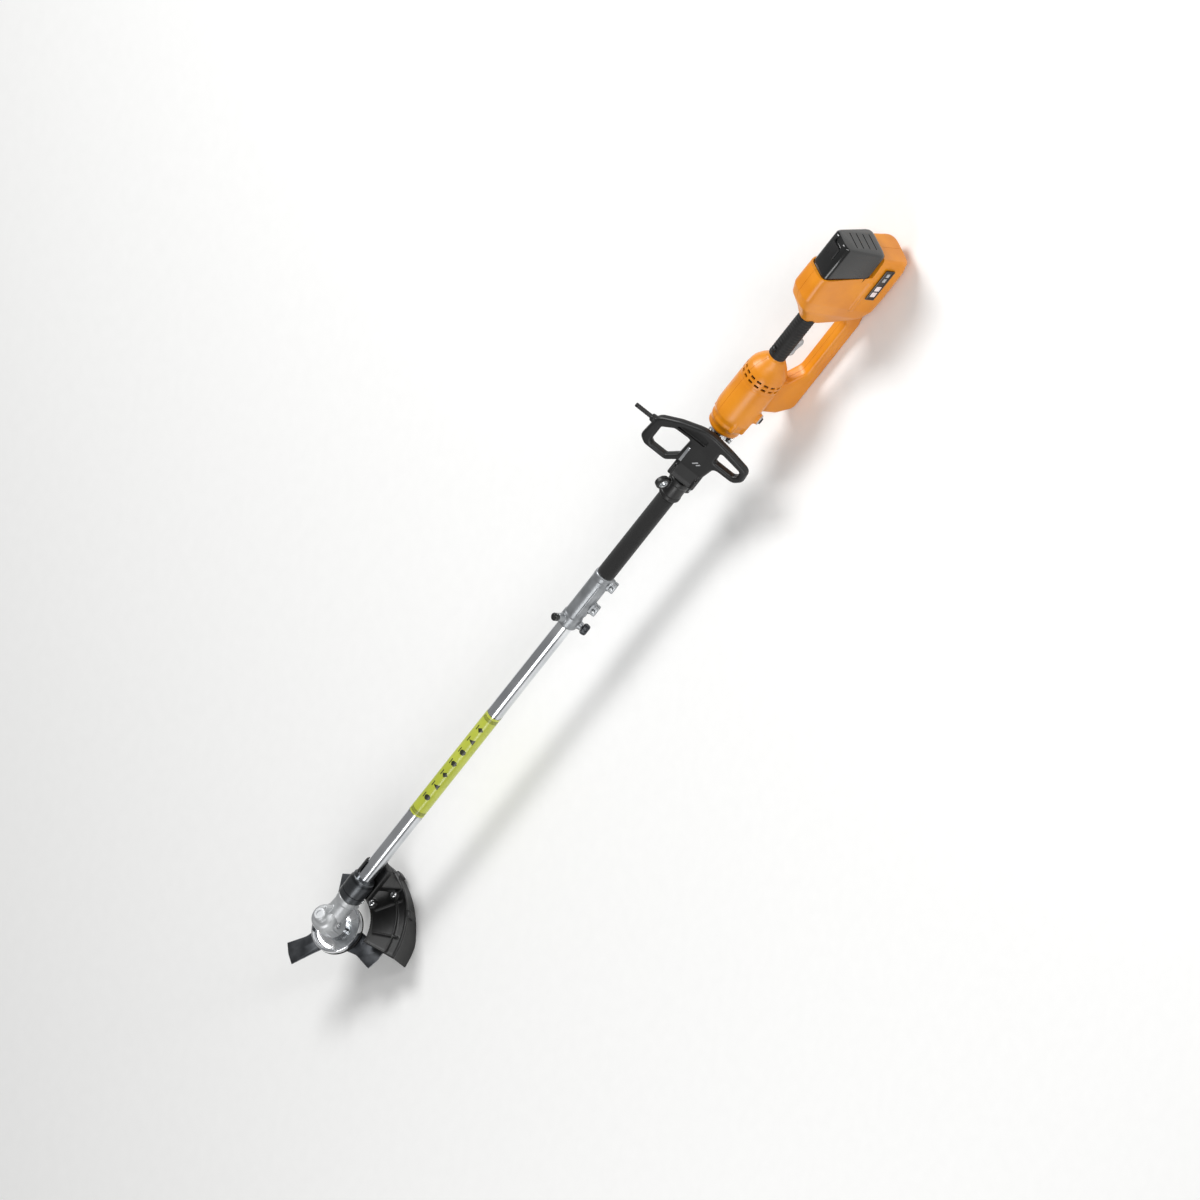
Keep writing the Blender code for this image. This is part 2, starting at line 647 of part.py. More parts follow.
def loop_handle():
    """A closed frame with a window each side of its post, over the upper half of a clamp."""
    outer = rounded_outline([
        (-0.100, -0.004, 0.016), (-0.086, -0.015, 0.010), (-0.042, -0.015, 0.010),
        (-0.026, 0.004, 0.008), (0.026, 0.004, 0.008), (0.033, 0.042, 0.010),
        (0.072, 0.043, 0.014), (0.084, 0.060, 0.014), (0.082, 0.088, 0.014),
        (0.040, 0.099, 0.060), (-0.012, 0.108, 0.060), (-0.060, 0.084, 0.060),
        (-0.096, 0.058, 0.024)], 3)
    left_window = rounded_outline([
        (-0.080, 0.002, 0.008), (-0.074, -0.004, 0.006), (-0.047, -0.004, 0.006),
        (-0.030, 0.018, 0.008), (-0.028, 0.064, 0.010), (-0.060, 0.062, 0.014),
        (-0.080, 0.044, 0.012)], 3)
    right_window = rounded_outline([
        (0.026, 0.056, 0.006), (0.064, 0.056, 0.008), (0.071, 0.064, 0.006),
        (0.069, 0.076, 0.006), (0.026, 0.084, 0.006)], 3)
    body = plate("loop_handle", [outer, left_window, right_window], loop_thickness, loop_plane)
    post = box("post", (clamp_length, clamp_half_width * 2, 0.0300 - gap), loop,
               (0, 0, 0.0150 + gap))
    join(body, post)
    cut(body, cylinder("loop_bore", tube_radius + gap, 0.2, loop, (0, 0, 0), along_x, sides=24,
                       cutter=True))
    cap = box("loop_clamp_cap", (clamp_length, clamp_half_width * 2, cap_depth), loop,
              (0, 0, -cap_depth / 2))
    bevel(cap, 0.0040, 2)
    cut(cap, cylinder("cap_bore", tube_radius + gap, 0.2, loop, (0, 0, 0), along_x, sides=24,
                      cutter=True))
    for i, (side, end) in enumerate(((1, 1), (1, -1), (-1, 1), (-1, -1))):
        place = (end * clamp_screw_x, side * clamp_screw_y, -cap_depth - gap)
        hole = cylinder("clamp_hole", 0.0022 + gap, 0.080, loop, (place[0], place[1], -0.034),
                        sides=12, cutter=True)
        cut(cap, hole)
        cut(body, hole)
        screw(f"loop_screw_{i + 1}", 0.0022, 0.0260, 0.0042, 0.0035, loop, place,
              (math.radians(180.0), 0, 0))
    join(body, box("rod_socket", (0.020, 0.018, loop_thickness), loop_plane,
                   (-0.0980, rod_height, 0)))
    cut(body, cylinder("socket_bore", rod_radius + gap, 0.026, loop_plane,
                       (-0.1000, rod_height, 0), along_x, sides=16, cutter=True))
    rod = cylinder("barrier_rod", rod_radius, rod_length, loop_plane, (-0.1120, rod_height, 0),
                   along_x, sides=16)
    bevel(rod, 0.0012, 1)
    finish(rod, black_plastic, 0.4)
    finish(body, black_plastic, 0.45)
    finish(cap, black_plastic, 0.45)


# Rear unit
motor_radius = 0.0365
motor_room_radius = 0.0330
seam = gap / 2
grip_core_radius = 0.0130
trigger_back = 1.452
trigger_height = -0.004
sled_top = battery_low - 0.0008


def side_plate(name, corners, half_width, cutter=False):
    """A side-view outline of (back, z, fillet) corners, extruded across the tool."""
    points = rounded_outline([(-back, z, fillet) for back, z, fillet in corners], 3)
    return plate(name, [points], half_width * 2, tool, (0, 0, 0), across_y, cutter)


def housing_barrel(name):
    """The motor barrel with its stepped nose and its shoulder down to the grip."""
    return turned(name, [
        (0.0, -1.2670), (0.0270, -1.2670), (0.0300, -1.2700), (0.0300, -1.2830),
        (0.0325, -1.2860), (0.0325, -1.2980), (0.0350, -1.3020), (motor_radius, -1.3100),
        (motor_radius, -1.4020), (0.0340, -1.4170), (0.0270, -1.4300), (0.0175, -1.4410),
        (0.0, -1.4430)], shaft, sides=28, closed=False)


def arm_plate():
    """The hoop under the grip, from the motor barrel back to the battery shell."""
    return side_plate("arm", [
        (1.322, -0.010, 0.0), (1.322, -0.070, 0.014), (1.338, arm_bottom, 0.014),
        (1.548, arm_bottom, 0.020), (1.600, -0.0870, 0.020), (1.640, -0.0860, 0.0),
        (1.640, -0.0200, 0.0), (1.574, -0.0200, 0.0), (1.564, -0.0500, 0.012),
        (1.548, -0.0715, 0.012), (1.420, -0.0715, 0.016), (1.394, -0.0500, 0.012),
        (1.390, -0.0100, 0.0)], arm_half_width)


def battery_shell():
    """The loft that swells from the grip to the battery and runs on as a sled beneath it."""
    sections = [box_section(*row) for row in (
        (1.546, 0.0150, -0.0180, 0.0220, 0.012, 0.80),
        (1.562, 0.0230, -0.0480, 0.0340, 0.014, 0.80),
        (1.584, 0.0338, -0.0764, 0.0560, 0.018, 0.80),
        (1.606, 0.0385, -0.0840, 0.0650, 0.020, 0.75),
        (1.640, 0.0385, -0.0860, 0.0660, 0.020, 0.72),
        (1.700, 0.0380, -0.0860, 0.0650, 0.020, 0.72),
        (shell_back, 0.0340, -0.0780, 0.0620, 0.018, 0.72))]
    return loft("shell", sections, tool)


def battery_form(name, extra, front, back, cutter=False):
    """The battery's outside, grown by extra on every side."""
    half = battery_half_width
    middle = (front + back) / 2
    sections = [box_section(place, half + extra, battery_low - extra, battery_high + extra,
                            0.012, 0.70) for place in (front, middle, back)]
    return loft(name, sections, tool, cutter)


def many_boxes(name, size, places, parent):
    """One cutter of separate blocks, each at (location, turn about the shaft)."""
    shape_mesh = bmesh.new()
    for location, turn in places:
        matrix = (Matrix.Rotation(turn, 4, "X") @ Matrix.Translation(location)
                  @ Matrix.Diagonal((*size, 1.0)))
        bmesh.ops.create_cube(shape_mesh, size=1.0, matrix=matrix)
    return add_mesh(name, from_bmesh(name, shape_mesh), parent, cutter=True)


screw_places = ((1.350, -0.0865), (1.535, -0.0925))
screw_seat = 0.0115
button_back = 1.322
button_seat = 0.0375


def housing_cutters():
    """Every hollow of the clamshell, shared by its two halves."""
    found = [
        cylinder("motor_room", motor_room_radius, 0.101, tool, (-1.362, 0, 0), along_x,
                 sides=24, cutter=True),
        cylinder("nose_bore", tube_radius + gap, 0.040, tool, (-1.2665, 0, 0), along_x,
                 sides=24, cutter=True),
        cylinder("bearing_seat", 0.0173, 0.027, tool, (-1.2995, 0, 0), along_x, sides=24,
                 cutter=True),
        cylinder("rear_seat", 0.0113, 0.020, tool, (-1.4105, 0, 0), along_x, sides=24,
                 cutter=True),
        box("switch_room", (0.054, 0.013, 0.027), tool, (-1.475, 0, -0.0005), cutter=True),
        battery_form("bay", 0.0006, battery_front - 0.0015, 1.760, cutter=True),
        side_plate("rim", [(1.652, 0.080, 0.0), (1.684, sled_top, 0.0), (1.760, sled_top, 0.0),
                           (1.760, 0.080, 0.0)], 0.060, cutter=True),
        box("electronics_room", (0.090, 0.052, 0.046), tool, (-1.650, 0, -0.0520), cutter=True),
        swept("wire_way", [(-1.380, 0, -0.020), (-1.380, 0, -0.055), (-1.412, 0, -0.080),
                           (-1.545, 0, -0.080), (-1.615, 0, -0.058)], 0.0040, tool,
              cutter=True),
        box("terminal_way", (0.008, 0.018, 0.020), tool, (-1.6125, 0, -0.0260), cutter=True),
        cylinder("pivot_bore", 0.0015 + gap, 0.0156, tool,
                 (-trigger_back, 0, trigger_height), across_y, sides=12, cutter=True),
        cylinder("lock_bore", 0.0045, 0.020, tool, (-1.462, 0, 0.0150), sides=20, cutter=True),
        cylinder("button_bore", 0.0065, 0.030, ears, (-button_back, 0.0400, 0), across_y,
                 sides=24, cutter=True),
        box("panel_recess", (0.0720, 0.0100, 0.0190), tool, (-1.672, 0.0405, -0.0480),
            cutter=True),
        many_boxes("vents", (0.0030, 0.0060, 0.012),
                   [((-back, 0.0, 0.0350), math.radians(turn))
                    for back in (1.3940, 1.4020) for turn in range(-112, 113, 28)],
                   tool)]
    for i, (back, z) in enumerate(screw_places):
        found.append(turned(f"screw_way_{i}", [
            (0.0, 0.0080), (0.0037, 0.0080), (0.0037, 0.0), (0.0017 + gap, 0.0),
            (0.0017 + gap, -0.0190), (0.0, -0.0190)], tool, (-back, -screw_seat, z),
            (math.radians(90.0), 0, 0), sides=12, closed=False, cutter=True))
    return found


def housing_half(name, side, hollows):
    """One half of the clamshell; side is 1 for the left and -1 for the right."""
    body = housing_barrel(name)
    core = cylinder("grip_core", grip_core_radius, 0.145, tool, (-1.4975, 0, grip_height),
                    along_x, sides=24)
    boss = cylinder("button_boss", 0.0100, 0.012, ears, (-button_back, 0.0360, 0), across_y,
                    sides=24)
    join(body, arm_plate(), battery_shell(), core, boss)
    cut(body, *hollows)
    cut(body, box("other_side", (0.60, 0.12, 0.30), tool, (-1.50, side * (seam - 0.060), 0),
                  cutter=True))
    return finish(body, yellow_plastic, 0.35)


def housing():
    hollows = housing_cutters()
    housing_half("housing_left", 1, hollows)
    housing_half("housing_right", -1, hollows)
    for i, (back, z) in enumerate(screw_places):
        screw(f"housing_screw_{i + 1}", 0.0017, 0.0175, 0.0032, 0.0028, tool,
              (-back, -screw_seat - gap, z), (math.radians(90.0), 0, 0))


def nose_collar():
    """The clamp ring that pins the upper tube to the motor unit."""
    body = shaft_turned("nose_collar",
                        [(nose_collar_front, 0.0165), (1.249, 0.0178), (1.2645, 0.0178),
                         (nose_collar_back, 0.0168)],
                        [(nose_collar_front, rough_bore), (nose_collar_back, rough_bore)])
    lug = box("collar_lug", (0.014, 0.012, 0.013), ears, (-1.2565, 0.0215, 0))
    join(body, lug)
    cut(body, cylinder("collar_bore", tube_radius + gap, 0.06, tool, (-1.2565, 0, 0), along_x,
                       sides=24, cutter=True),
        cylinder("collar_hole", 0.0020 + gap, 0.04, ears, (-1.2565, 0.0235, 0), sides=12,
                 cutter=True),
        box("collar_slit", (0.04, 0.0150, 0.0014), ears, (-1.2565, 0.0225, 0), cutter=True))
    finish(body, bright_steel, 0.2, 1.0)
    screw("collar_screw", 0.0020, 0.0130, 0.0036, 0.0034, ears, (-1.2565, 0.0235, 0.0065 + gap))


def grip():
    cover = cylinder("grip_cover", grip_radius, grip_back - grip_front, tool,
                     (-(grip_front + grip_back) / 2, 0, grip_height), along_x, sides=24)
    bevel(cover, 0.0015, 2)
    cut(cover, cylinder("cover_bore", grip_core_radius + gap, 0.2, tool,
                        (-1.5, 0, grip_height), along_x, sides=24, cutter=True),
        box("trigger_slot", (0.0570, 0.0130, 0.020), tool, (-1.4685, 0, -0.0120), cutter=True),
        cylinder("lock_slot", 0.0050, 0.020, tool, (-1.462, 0, 0.0200), sides=20, cutter=True),
        battery_clearance())
    return finish(cover, soft_black, 0.7)


def battery_clearance():
    """Room for the battery shell's front, so that the cover stops short of it."""
    sections = [box_section(place, half_width + gap, low - gap, high + gap, corner, 0.8)
                for place, half_width, low, high, corner in (
                    (1.5457, 0.0150, -0.0180, 0.0220, 0.012),
                    (1.5617, 0.0230, -0.0480, 0.0340, 0.014))]
    return loft("shell_room", sections, tool, cutter=True)


def trigger_group():
    trigger = side_plate("trigger", [
        (1.4505 - trigger_back, 0.0030, 0.002), (1.4495 - trigger_back, -0.0040, 0.002),
        (1.456 - trigger_back, -0.0185, 0.006), (1.468 - trigger_back, -0.0165, 0.010),
        (1.484 - trigger_back, -0.0215, 0.005), (1.492 - trigger_back, -0.0180, 0.004),
        (1.493 - trigger_back, 0.0010, 0.002)], 0.0055)
    trigger.location = (-trigger_back, 0, trigger_height)
    bevel(trigger, 0.0012, 2)
    cut(trigger, cylinder("trigger_bore", 0.0015 + gap, 0.05, tool,
                          (-trigger_back, 0, trigger_height), across_y, sides=12, cutter=True))
    finish(trigger, (0.35, 0.35, 0.36), 0.5)
    pin = cylinder("trigger_pin", 0.0015, 0.0150, tool, (-trigger_back, 0, trigger_height),
                   across_y, sides=12)
    finish(pin, bright_steel, 0.3, 1.0)
    switch = box("power_switch", (0.026, 0.012, 0.0080), tool, (-1.4850, 0, 0.0085))
    bevel(switch, 0.0006, 1)
    finish(switch, black_plastic, 0.5)
    lock = turned("lock_off_button", [(0.0, 0.0085), (0.0030, 0.0085), (0.0042, 0.0070),
                                      (0.0042, -0.0020), (0.0, -0.0020)], tool,
                  (-1.462, 0, 0.0160), sides=20, closed=False)
    finish(lock, black_plastic, 0.5)


def motor():
    can = shaft_turned("motor_can", [(1.316, 0.0310), (1.318, 0.0325), (1.390, 0.0325)],
                       [(1.316, 0.0120), (1.319, 0.0120), (1.3191, 0.0285), (1.390, 0.0285)],
                       sides=24)
    finish(can, dark_metal, 0.4, 1.0)
    rotor = turned("motor_rotor", [
        (0.0, -1.2925), (shaft_radius, -1.2925), (shaft_radius, -1.330), (0.0260, -1.330),
        (0.0260, -1.382), (shaft_radius, -1.382), (shaft_radius, -1.4195), (0.0, -1.4195)],
        shaft, sides=24, closed=False)
    finish(rotor, copper, 0.4, 0.9)
    fan = shaft_ring("cooling_fan", 0.0290, shaft_radius + gap, 1.3935, 1.4030)
    finish(fan, black_plastic, 0.5)
    for name, outer, front, back in (("front_bearing", 0.0170, 1.3020, 1.3100),
                                     ("rear_bearing", 0.0110, 1.4128, 1.4188)):
        finish(shaft_ring(name, outer, shaft_radius + gap, front, back, sides=24),
               bright_steel, 0.25, 1.0)
    coupling = turned("shaft_coupling", [
        (0.0085, -1.2872), (0.0085, -1.2995), (shaft_radius + gap, -1.2995),
        (shaft_radius + gap, -1.2872)], shaft, sides=24)
    finish(coupling, dark_metal, 0.35, 1.0)
    button = turned("speed_button", [(0.0, 0.0085), (0.0045, 0.0085), (0.0060, 0.0072),
                                     (0.0060, -0.0030), (0.0, -0.0030)], ears,
                    (-button_back, button_seat, 0), (math.radians(-90.0), 0, 0), sides=24,
                    closed=False)
    finish(button, black_plastic, 0.45)


def battery():
    case = battery_form("battery_case", 0.0, battery_front, battery_back)
    room = battery_form("cell_room", -0.0028, battery_front - 0.010, battery_back - 0.0030,
                        cutter=True)
    latch_room = box("latch_room", (0.0250, 0.0240, 0.0200), tool, (-1.7080, 0, 0.0620),
                     cutter=True)
    cut(case, room, latch_room)
    bevel(case, 0.0015, 1, 30.0)
    finish(case, black_plastic, 0.3)
    lid = battery_form("battery_lid", -0.0032, battery_front + 0.0005, battery_front + 0.0035)
    cut(lid, box("terminal_opening", (0.02, 0.0280, 0.0170), tool, (-1.610, 0, 0.010),
                 cutter=True))
    finish(lid, black_plastic, 0.5)
    cells = None
    for row in range(3):
        for column in (-1, 1):
            cell = cylinder("cell_pack" if cells is None else "cell", 0.0098, 0.098, tool,
                            (-1.673, column * 0.0096, -0.0085 + row * 0.0190), along_x, sides=12)
            if cells is None:
                cells = cell
            else:
                join(cells, cell)
    finish(cells, (0.05, 0.20, 0.45), 0.4)
    block = box("terminal_block", (0.0120, 0.0240, 0.0130), tool, (-1.6132, 0, 0.010))
    finish(block, dark_metal, 0.5)
    latch = box("battery_latch", (0.0240, 0.0230, 0.0060), tool, (-1.7080, 0, 0.0595))
    bevel(latch, 0.0015, 2)
    finish(latch, black_plastic, 0.4)


def electronics():
    board = box("control_board", (0.0700, 0.0440, 0.0016), tool, (-1.652, 0, -0.0640))
    finish(board, board_green, 0.5)
    panel = box("status_panel", (0.0710, 0.0030, 0.0180), tool, (-1.672, 0.0372, -0.0480))
    bevel(panel, 0.0008, 1)
    finish(panel, black_plastic, 0.3)


gear_head()
gear_train()
output_parts()
blade()
guard()
guard_fixing()
tubes()
foam_grip()
hanger()
coupler()
loop_handle()
housing()
nose_collar()
grip()
trigger_group()
motor()
battery()
electronics()
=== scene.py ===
import json
import math

import bmesh
import bpy
from mathutils import Matrix, Vector


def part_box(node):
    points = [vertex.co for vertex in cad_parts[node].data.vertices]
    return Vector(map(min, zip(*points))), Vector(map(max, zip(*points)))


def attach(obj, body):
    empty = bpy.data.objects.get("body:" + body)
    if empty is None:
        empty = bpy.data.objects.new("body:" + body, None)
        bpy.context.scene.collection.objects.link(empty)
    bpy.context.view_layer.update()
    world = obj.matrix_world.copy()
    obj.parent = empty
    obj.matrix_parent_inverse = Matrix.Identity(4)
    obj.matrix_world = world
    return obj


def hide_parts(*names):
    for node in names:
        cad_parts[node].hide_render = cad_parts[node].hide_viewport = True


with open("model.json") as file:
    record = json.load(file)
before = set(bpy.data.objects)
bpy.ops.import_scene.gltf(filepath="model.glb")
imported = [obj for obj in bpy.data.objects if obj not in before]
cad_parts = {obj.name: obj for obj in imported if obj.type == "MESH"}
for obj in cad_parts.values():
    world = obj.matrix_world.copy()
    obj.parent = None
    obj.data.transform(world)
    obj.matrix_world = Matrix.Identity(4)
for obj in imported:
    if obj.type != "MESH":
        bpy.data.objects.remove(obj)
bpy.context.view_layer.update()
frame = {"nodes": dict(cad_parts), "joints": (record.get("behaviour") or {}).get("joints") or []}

for leftover in ("Cube", "Light", "Camera"):  # Blender's opening objects, where it makes them
    if leftover in bpy.data.objects:
        bpy.data.objects.remove(bpy.data.objects[leftover])

joints = {joint["name"]: joint for joint in frame["joints"]}
gearPoint = Vector(joints["blade_spin"]["pos_m"])  # where the shaft axis meets the blade axis
bladeAxis = Vector(joints["blade_spin"]["axis"])
knobAxis = Vector(joints["knob_turn"]["axis"])
bladeTilt = math.atan2(-bladeAxis.x, bladeAxis.z)
sideTurn = math.atan2(knobAxis.z, knobAxis.y)  # clamp ears and front handle are clocked by this
loopMiddle = gearPoint.x - Vector(joints["loop_swivel"]["pos_m"]).x

# Places to build in. In backFrame z runs back along the shaft, x is up and y is the tool's left.
toolFrame = Matrix.Translation(gearPoint)
backFrame = toolFrame @ Matrix.Rotation(math.radians(-90), 4, "Y")
headFrame = toolFrame @ Matrix.Rotation(-bladeTilt, 4, "Y")
earFrame = toolFrame @ Matrix.Rotation(sideTurn, 4, "X")
bladeBackFrame = headFrame @ Matrix.Rotation(math.radians(-90) + bladeTilt, 4, "Y")


def at(x, y, z):
    return Matrix.Translation((x, y, z))


def turnX(degrees):
    return Matrix.Rotation(math.radians(degrees), 4, "X")


def turnY(degrees):
    return Matrix.Rotation(math.radians(degrees), 4, "Y")


def turnZ(degrees):
    return Matrix.Rotation(math.radians(degrees), 4, "Z")


# Mesh tools

def putMesh(name, work, where=None, sharpAngle=32):
    mesh = bpy.data.meshes.new(name)
    bmesh.ops.recalc_face_normals(work, faces=work.faces)
    work.to_mesh(mesh)
    work.free()
    mesh.shade_smooth()
    mesh.set_sharp_from_angle(angle=math.radians(sharpAngle))
    piece = bpy.data.objects.new(name, mesh)
    bpy.context.scene.collection.objects.link(piece)
    piece.matrix_world = where if where is not None else Matrix.Identity(4)
    return piece


def skin(work, rings, capEnds=True, closeLoop=False):
    loops = [[work.verts.new(point) for point in ring] for ring in rings]
    pairs = list(zip(loops, loops[1:]))
    if closeLoop:
        pairs.append((loops[-1], loops[0]))
    count = len(loops[0])
    for near, far in pairs:
        for i in range(count):
            j = (i + 1) % count
            work.faces.new((near[i], near[j], far[j], far[i]))
    if capEnds and not closeLoop:
        work.faces.new(loops[0])
        work.faces.new(loops[-1])


def loft(name, rings, where=None, sharpAngle=32, closeLoop=False):
    work = bmesh.new()
    skin(work, rings, True, closeLoop)
    return putMesh(name, work, where, sharpAngle)


def circleRing(radius, z, steps):
    return [(radius * math.cos(2 * math.pi * i / steps),
             radius * math.sin(2 * math.pi * i / steps), z) for i in range(steps)]


def lathe(name, profile, where, steps=72, hollow=False, sharpAngle=32):
    # profile holds (z, radius); a hollow one runs down the outside and back along the bore
    return loft(name, [circleRing(max(radius, 0.00005), z, steps) for z, radius in profile],
                where, sharpAngle, hollow)


def block(name, size, where, edge=0.0, edgeSteps=2):
    work = bmesh.new()
    bmesh.ops.create_cube(work, size=1.0, matrix=Matrix.Diagonal((*size, 1.0)))
    if edge:
        bmesh.ops.bevel(work, geom=work.edges[:], offset=edge, segments=edgeSteps,
                        affect="EDGES", profile=0.6)
    return putMesh(name, work, where)


def rounded(corners, steps=6):
    # corners hold (x, y, fillet radius)
    points = []
    for i, (x, y, radius) in enumerate(corners):
        corner = Vector((x, y))
        before = Vector(corners[i - 1][:2]) - corner
        after = Vector(corners[(i + 1) % len(corners)][:2]) - corner
        if radius == 0:
            points.append((x, y))
            continue
        reach = min(radius / math.tan(before.angle(after) / 2), before.length * 0.49,
                    after.length * 0.49)
        start = corner + before.normalized() * reach
        end = corner + after.normalized() * reach
        for step in range(steps + 1):
            t = step / steps
            spot = start * (1 - t) ** 2 + corner * (2 * t * (1 - t)) + end * t ** 2
            points.append((spot.x, spot.y))
    return points


def settle(piece):
    # applies every modifier on the piece
    bpy.context.view_layer.update()
    graph = bpy.context.evaluated_depsgraph_get()
    mesh = bpy.data.meshes.new_from_object(piece.evaluated_get(graph))
    piece.modifiers.clear()
    piece.data = mesh
    return piece


def slab(name, loops, thickness, where, edge=0.0008, edgeSteps=2):
    # a flat outline with its holes and softly rounded rims
    curve = bpy.data.curves.new(name, "CURVE")
    curve.dimensions = "2D"
    curve.fill_mode = "BOTH"
    curve.extrude = thickness / 2 - edge
    curve.bevel_depth = edge
    curve.bevel_resolution = edgeSteps
    curve.offset = -edge
    for points in loops:
        spline = curve.splines.new("POLY")
        spline.points.add(len(points) - 1)
        for point, (x, y) in zip(spline.points, points):
            point.co = (x, y, 0, 1)
        spline.use_cyclic_u = True
    drawn = bpy.data.objects.new(name, curve)
    bpy.context.scene.collection.objects.link(drawn)
    bpy.context.view_layer.update()
    graph = bpy.context.evaluated_depsgraph_get()
    mesh = bpy.data.meshes.new_from_object(drawn.evaluated_get(graph))
    bpy.data.objects.remove(drawn)
    work = bmesh.new()
    work.from_mesh(mesh)
    bmesh.ops.remove_doubles(work, verts=work.verts, dist=0.00001)
    return putMesh(name, work, where)


def gather(name, parts):
    # joins several objects into one mesh in world coordinates
    work = bmesh.new()
    for part in parts:
        before = len(work.verts)
        work.from_mesh(part.data)
        work.verts.ensure_lookup_table()
        bmesh.ops.transform(work, matrix=part.matrix_world, verts=work.verts[before:])
        bpy.data.objects.remove(part)
    mesh = bpy.data.meshes.new(name)
    work.to_mesh(mesh)
    work.free()
    piece = bpy.data.objects.new(name, mesh)
    bpy.context.scene.collection.objects.link(piece)
    return piece


def melt(name, parts, grain, smoothing=3):
    # closed shapes that overlap flow together with cast fillets, grain metres fine
    piece = gather(name, parts)
    remesh = piece.modifiers.new("Remesh", "REMESH")
    remesh.mode = "VOXEL"
    remesh.voxel_size = grain
    soften = piece.modifiers.new("Smooth", "SMOOTH")
    soften.factor = 0.5
    soften.iterations = smoothing
    settle(piece)
    piece.data.shade_smooth()
    return piece


def carve(piece, cutters, sharpAngle=35):
    for cutter in cutters:
        change = piece.modifiers.new("Cut", "BOOLEAN")
        change.operation = "DIFFERENCE"
        change.object = cutter
        change.solver = "MANIFOLD"
    settle(piece)
    for cutter in cutters:
        bpy.data.objects.remove(cutter)
    piece.data.shade_smooth()
    piece.data.set_sharp_from_angle(angle=math.radians(sharpAngle))
    return piece


def dress(piece, material, body, slot, *stands):
    piece.data.materials.clear()
    piece.data.materials.append(material)
    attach(piece, body)
    if stands:
        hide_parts(*stands)
    return piece


# Materials

def hexColour(code, strength=1.0):
    # sRGB hex to the linear values that shaders use
    channels = []
    for i in (1, 3, 5):
        value = int(code[i:i + 2], 16) / 255
        linear = value / 12.92 if value <= 0.04045 else ((value + 0.055) / 1.055) ** 2.4
        channels.append(linear * strength)
    return (*channels, 1.0)


def addNode(tree, kind, settings=None, links=None):
    node = tree.nodes.new(kind)
    for key, value in (settings or {}).items():
        if isinstance(key, str) and hasattr(node, key):
            setattr(node, key, value)
        else:
            node.inputs[key].default_value = value
    for key, source in (links or {}).items():
        tree.links.new(source, node.inputs[key])
    return node


def startMaterial(name, settings):
    material = bpy.data.materials.new(name)
    material.use_nodes = True
    tree = material.node_tree
    shader = tree.nodes["Principled BSDF"]
    for key, value in settings.items():
        shader.inputs[key].default_value = value
    place = addNode(tree, "ShaderNodeTexCoord").outputs["Object"]
    return material, tree, shader, place


def mouldedPlastic(name, look):
    # injection-moulded polymer: spark-eroded grain breaks up the gloss, handling leaves faint blooms
    material, tree, shader, place = startMaterial(name, {"IOR": look["ior"], "Metallic": 0.0,
                                                         "Coat Weight": look["coat"],
                                                         "Coat Roughness": look["coatRoughness"]})
    flow = addNode(tree, "ShaderNodeTexNoise", {"Scale": 1 / look["flowSize"], "Detail": 4.0},
                   {"Vector": place}).outputs["Fac"]
    grain = addNode(tree, "ShaderNodeTexNoise", {"Scale": 1 / look["grainSize"], "Detail": 2.0},
                    {"Vector": place}).outputs["Fac"]
    edge = addNode(tree, "ShaderNodeNewGeometry").outputs["Pointiness"]
    worn = addNode(tree, "ShaderNodeMapRange", {"From Min": 0.53, "From Max": 0.62, "To Min": 0.0,
                                                "To Max": look["wear"]}, {"Value": edge})
    cloud = addNode(tree, "ShaderNodeMapRange", {"From Min": 0.35, "From Max": 0.65},
                    {"Value": flow})
    base = addNode(tree, "ShaderNodeMix", {"data_type": "RGBA", 6: hexColour(look["dark"]),
                                           7: hexColour(look["light"])},
                   {0: cloud.outputs["Result"]})
    tone = addNode(tree, "ShaderNodeMix", {"data_type": "RGBA", 7: hexColour(look["worn"])},
                   {0: worn.outputs["Result"], 6: base.outputs[2]})
    tree.links.new(tone.outputs[2], shader.inputs["Base Color"])
    rough = addNode(tree, "ShaderNodeMapRange", {"From Min": 0.3, "From Max": 0.7,
                                                 "To Min": look["roughLow"],
                                                 "To Max": look["roughHigh"]}, {"Value": flow})
    tree.links.new(rough.outputs["Result"], shader.inputs["Roughness"])
    bump = addNode(tree, "ShaderNodeBump", {"Strength": look["grainStrength"],
                                            "Distance": look["grainSize"] * 0.25},
                   {"Height": grain})
    tree.links.new(bump.outputs["Normal"], shader.inputs["Normal"])
    return material


def foamSkin(name, look):
    # closed-cell EVA foam: matt, pitted by its cells, with painted shade darkening the pits
    material, tree, shader, place = startMaterial(name, {"IOR": 1.45, "Sheen Weight": look["sheen"],
                                                         "Sheen Roughness": 0.5})
    cells = addNode(tree, "ShaderNodeTexVoronoi", {"Scale": 1 / look["cellSize"]},
                    {"Vector": place}).outputs["Distance"]
    # painted shade: the pits at the cell centres take the darker colour
    pitShade = addNode(tree, "ShaderNodeMapRange", {"From Min": 0.1, "From Max": 0.7},
                  {"Value": cells})
    tone = addNode(tree, "ShaderNodeMix", {"data_type": "RGBA", 6: hexColour(look["dark"]),
                                           7: hexColour(look["light"])},
                   {0: pitShade.outputs["Result"]})
    tree.links.new(tone.outputs[2], shader.inputs["Base Color"])
    rough = addNode(tree, "ShaderNodeMapRange", {"To Min": look["roughLow"],
                                                 "To Max": look["roughHigh"]}, {"Value": cells})
    tree.links.new(rough.outputs["Result"], shader.inputs["Roughness"])
    bump = addNode(tree, "ShaderNodeBump", {"Strength": 0.5, "Distance": look["cellSize"] * 0.3},
                   {"Height": cells})
    tree.links.new(bump.outputs["Normal"], shader.inputs["Normal"])
    return material


